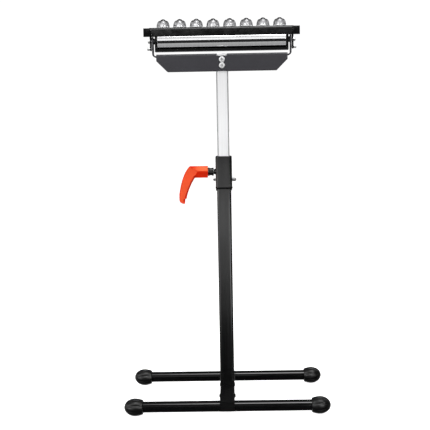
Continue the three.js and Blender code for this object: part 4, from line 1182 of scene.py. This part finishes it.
def roller():
    low, high = extent("roller_tube")
    radius = (high.y - low.y) / 2
    bore = radius - ROLLER_WALL
    edge = ROLLER_EDGE
    profile = [(bore, low.x)] + arc(radius - edge, low.x + edge, edge, -90, 0, EDGE_STEPS)
    profile += arc(radius - edge, high.x - edge, edge, 0, 90, EDGE_STEPS) + [(bore, high.x)]
    shell = moved(lathe("x", profile, ROLLER_SIDES, closed=True), z=AXLE_Z)
    put("roller_shell", shell, "roller", "roller_steel", "roller_tube")
    for hand in ("left", "right"):
        node = f"roller_bearing_{hand}"
        low, high = extent(node)
        outer = high.y
        face, back = (low.x, high.x) if hand == "left" else (high.x, low.x)
        inward = 1 if hand == "left" else -1
        axle_bore = AXLE_RADIUS + FIT
        edge = ROLLER_END_EDGE
        profile = [(axle_bore, back), (axle_bore, face)]
        profile += [(radius, face + depth * inward) for radius, depth in ROLLER_GROOVE]
        profile += [(outer - edge, face), (outer, face + edge * inward), (outer, back)]
        plug = moved(lathe("x", profile, closed=True), z=AXLE_Z)
        put(f"roller_end_{hand}", plug, "roller", "black_plastic", node)


def housing(number):
    """Domed cup with a rim at its base and a lip that holds the ball."""
    node = f"ball_housing_{number}"
    low = extent(node)[0]
    base = low.z + SPIGOT_LENGTH
    cup = BALL_RADIUS + BALL_GAP
    lip_radius = math.sqrt(cup ** 2 - HOUSING_LIP_HEIGHT ** 2)
    lip_z = base + BALL_CENTRE_HEIGHT + HOUSING_LIP_HEIGHT
    dome_base = base + HOUSING_RIM_HEIGHT
    inner = lip_radius + HOUSING_LIP_WIDTH
    side = HOUSING_RADIUS - HOUSING_STEP
    rim = HOUSING_RADIUS - HOUSING_EDGE
    profile = [(0, low.z), (SPIGOT_RADIUS, low.z), (SPIGOT_RADIUS, base), (rim, base)]
    profile += [(HOUSING_RADIUS, base + HOUSING_EDGE), (rim, dome_base)]
    for i in range(HOUSING_DOME_STEPS + 1):
        angle = math.pi / 2 * i / HOUSING_DOME_STEPS
        radius = inner + (side - inner) * math.cos(angle)
        profile.append((radius, dome_base + (lip_z - dome_base) * math.sin(angle)))
    lip_angle = math.asin(HOUSING_LIP_HEIGHT / cup)
    for i in range(HOUSING_CUP_STEPS + 1):
        angle = lip_angle - (lip_angle + math.pi / 2) * i / HOUSING_CUP_STEPS
        radius = cup * math.cos(angle) if i < HOUSING_CUP_STEPS else 0
        profile.append((radius, base + BALL_CENTRE_HEIGHT + cup * math.sin(angle)))
    x = centre(node).x
    mesh = moved(lathe("z", profile), x=x)
    piece = put(f"ball_cup_{number}", mesh, "head", "chrome", node, look="satin_chrome")

    def on_rim(point):
        return math.hypot(point.x - x, point.y) > side and point.z < dome_base + 0.1

    relook(piece, "bright_zinc", on_rim)


def ball(number):
    middle = centre(f"ball_{number}")
    profile = []
    for i in range(BALL_STEPS + 1):
        angle = math.pi * i / BALL_STEPS
        radius = BALL_RADIUS * math.sin(angle) if 0 < i < BALL_STEPS else 0
        profile.append((radius, -BALL_RADIUS * math.cos(angle)))
    mesh = moved(lathe("x", profile, BALL_SIDES), middle.x, 0, middle.z)
    body = f"transfer_ball_{number}"
    put(f"steel_ball_{number}", mesh, body, "chrome", f"ball_{number}", look="ball_chrome")


def build_head():
    put("roller_cradle", roller_frame(), "head", "black_paint", "roller_frame")
    put("ball_rail", ball_bar(), "head", "black_paint", "ball_bar", look="rail_paint")
    low, high = extent("pivot_axle")
    tip = AXLE_RADIUS - AXLE_EDGE
    axle = lathe("x", [
        (0, low.x), (tip, low.x), (AXLE_RADIUS, low.x + AXLE_EDGE),
        (AXLE_RADIUS, high.x - AXLE_EDGE), (tip, high.x), (0, high.x),
    ], SMALL_SIDES)
    put("axle_rod", moved(axle, z=AXLE_Z), "head", "zinc", "pivot_axle")
    for hand in ("left", "right"):
        side_plate(hand)
        head_fasteners(hand)
    edge_guide()
    roller()
    for number in range(1, BALL_COUNT + 1):
        housing(number)
        ball(number)


def dress_kept_nodes():
    """Hidden pieces keep their solids and get a finish."""
    kept = {"clamp_pad": "zinc", "clamp_stud": "zinc", "inner_post_glide": "black_plastic"}
    for node, slot in kept.items():
        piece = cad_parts[node]
        for material_slot in piece.material_slots:
            material_slot.material = finishes[slot]


# Stage, light and camera

def direction_glow(tree, direction, aim, inner, outer):
    """1 within an angle of an aim, falling smoothly to 0 at a wider one."""
    dot = add_node(tree, "ShaderNodeVectorMath", operation="DOT_PRODUCT")
    dot.inputs[1].default_value = Vector(aim).normalized()
    tree.links.new(direction, dot.inputs[0])
    start = math.cos(math.radians(outer))
    end = math.cos(math.radians(inner))
    return remapped(tree, dot.outputs["Value"], start, end, 0, 1, "SMOOTHSTEP")


def band(tree, height, start, end, low, high):
    """Light that changes from one value to another between two elevations, in degrees."""
    limits = [math.sin(math.radians(elevation)) for elevation in (start, end)]
    return remapped(tree, height, *limits, low, high, "SMOOTHSTEP")


def combine(tree, operation, first, second):
    node = add_node(tree, "ShaderNodeMath", operation=operation)
    for socket, value in zip(node.inputs, (first, second)):
        if isinstance(value, (int, float)):
            socket.default_value = value
        else:
            tree.links.new(value, socket)
    return node.outputs["Value"]


def build_world():
    world = bpy.data.worlds.new("studio")
    bpy.context.scene.world = world
    world.use_nodes = True
    tree = world.node_tree
    tree.nodes.clear()
    coordinates = add_node(tree, "ShaderNodeTexCoord")
    direction = coordinates.outputs["Generated"]
    parts = add_node(tree, "ShaderNodeSeparateXYZ")
    tree.links.new(direction, parts.inputs["Vector"])
    height = parts.outputs["Z"]
    room = band(tree, height, 2, 8, DARK_LIGHT, ROOM_LIGHT)
    glow = direction_glow(tree, direction, OVERHEAD_AIM, OVERHEAD_INNER, OVERHEAD_OUTER)
    overhead = combine(tree, "MULTIPLY", glow, OVERHEAD_LIGHT)
    behind = band(tree, parts.outputs["Y"], 12, 40, 0.0, BACK_LIGHT)
    below = band(tree, height, -6, 0, 1.0, 0.0)
    lift = combine(tree, "MULTIPLY", behind, below)
    light = combine(tree, "ADD", combine(tree, "ADD", room, overhead), lift)
    studio = add_node(tree, "ShaderNodeBackground")
    studio.inputs["Color"].default_value = (1, 1, 1, 1)
    tree.links.new(light, studio.inputs["Strength"])
    backdrop = add_node(tree, "ShaderNodeBackground")
    backdrop.inputs["Color"].default_value = (1, 1, 1, 1)
    backdrop.inputs["Strength"].default_value = BACKDROP_LIGHT
    path = add_node(tree, "ShaderNodeLightPath")
    mix = add_node(tree, "ShaderNodeMixShader")
    tree.links.new(path.outputs["Is Camera Ray"], mix.inputs["Fac"])
    tree.links.new(studio.outputs["Background"], mix.inputs[1])
    tree.links.new(backdrop.outputs["Background"], mix.inputs[2])
    output = add_node(tree, "ShaderNodeOutputWorld")
    tree.links.new(mix.outputs["Shader"], output.inputs["Surface"])


def build_panels():
    for name, (location, aim, width, height, radiance, spread_angle) in PANELS.items():
        light = bpy.data.lights.new(f"{name}_panel", "AREA")
        light.shape = "RECTANGLE"
        light.size = width
        light.size_y = height
        half_spread = math.radians(spread_angle) / 2
        narrowing = 1 - half_spread / math.tan(half_spread)
        light.energy = radiance * math.pi * width * height * narrowing
        light.spread = math.radians(spread_angle)
        panel = bpy.data.objects.new(f"{name}_panel", light)
        bpy.context.scene.collection.objects.link(panel)
        facing = Vector(aim) - Vector(location)
        turn = facing.to_track_quat("-Z", "Y").to_matrix().to_4x4()
        panel.matrix_world = Matrix.Translation(location) @ turn
        panel.visible_camera = False
        panel.visible_glossy = name not in DIFFUSE_PANELS


def build_floor():
    """White floor, just under the caps; it takes the shadow and leaves reflections to the room."""
    bm = bmesh.new()
    bmesh.ops.create_grid(bm, x_segments=8, y_segments=8, size=FLOOR_SIZE / 2)
    mesh = bpy.data.meshes.new("floor")
    bm.to_mesh(mesh)
    bm.free()
    floor = bpy.data.objects.new("floor", mesh)
    floor.location.z = -FLOOR_DROP
    bpy.context.scene.collection.objects.link(floor)
    material = bpy.data.materials.new("floor_white")
    material.use_nodes = True
    shader = material.node_tree.nodes["Principled BSDF"]
    shader.inputs["Base Color"].default_value = (0.85, 0.85, 0.85, 1)
    shader.inputs["Roughness"].default_value = 0.9
    shader.inputs["Specular IOR Level"].default_value = 0.1
    shader.inputs["Emission Color"].default_value = (1, 1, 1, 1)
    shader.inputs["Emission Strength"].default_value = FLOOR_GLOW
    mesh.materials.append(material)
    floor.visible_diffuse = False
    floor.visible_glossy = False


def build_camera():
    camera_data = bpy.data.cameras.new("camera")
    camera_data.sensor_width = CAMERA_SENSOR
    camera_data.lens = CAMERA_LENS
    camera_data.clip_end = 100
    camera = bpy.data.objects.new("camera", camera_data)
    bpy.context.scene.collection.objects.link(camera)
    forward = Vector((
        math.sin(CAMERA_YAW) * math.cos(CAMERA_PITCH),
        math.cos(CAMERA_YAW) * math.cos(CAMERA_PITCH),
        math.sin(CAMERA_PITCH),
    ))
    right = Vector((math.cos(CAMERA_YAW), -math.sin(CAMERA_YAW), 0))
    down = forward.cross(right)
    rolled_right = right * math.cos(CAMERA_ROLL) + down * math.sin(CAMERA_ROLL)
    rolled_down = down * math.cos(CAMERA_ROLL) - right * math.sin(CAMERA_ROLL)
    axes = Matrix((rolled_right, -rolled_down, -forward)).transposed()
    camera.matrix_world = Matrix.Translation(CAMERA_PLACE) @ axes.to_4x4()
    bpy.context.scene.camera = camera


build_camera()
build_world()
build_panels()
build_floor()
build_base()
build_post()
build_clamp()
build_mast()
build_head()
dress_kept_nodes()
bpy.context.scene.view_settings.view_transform = "Standard"
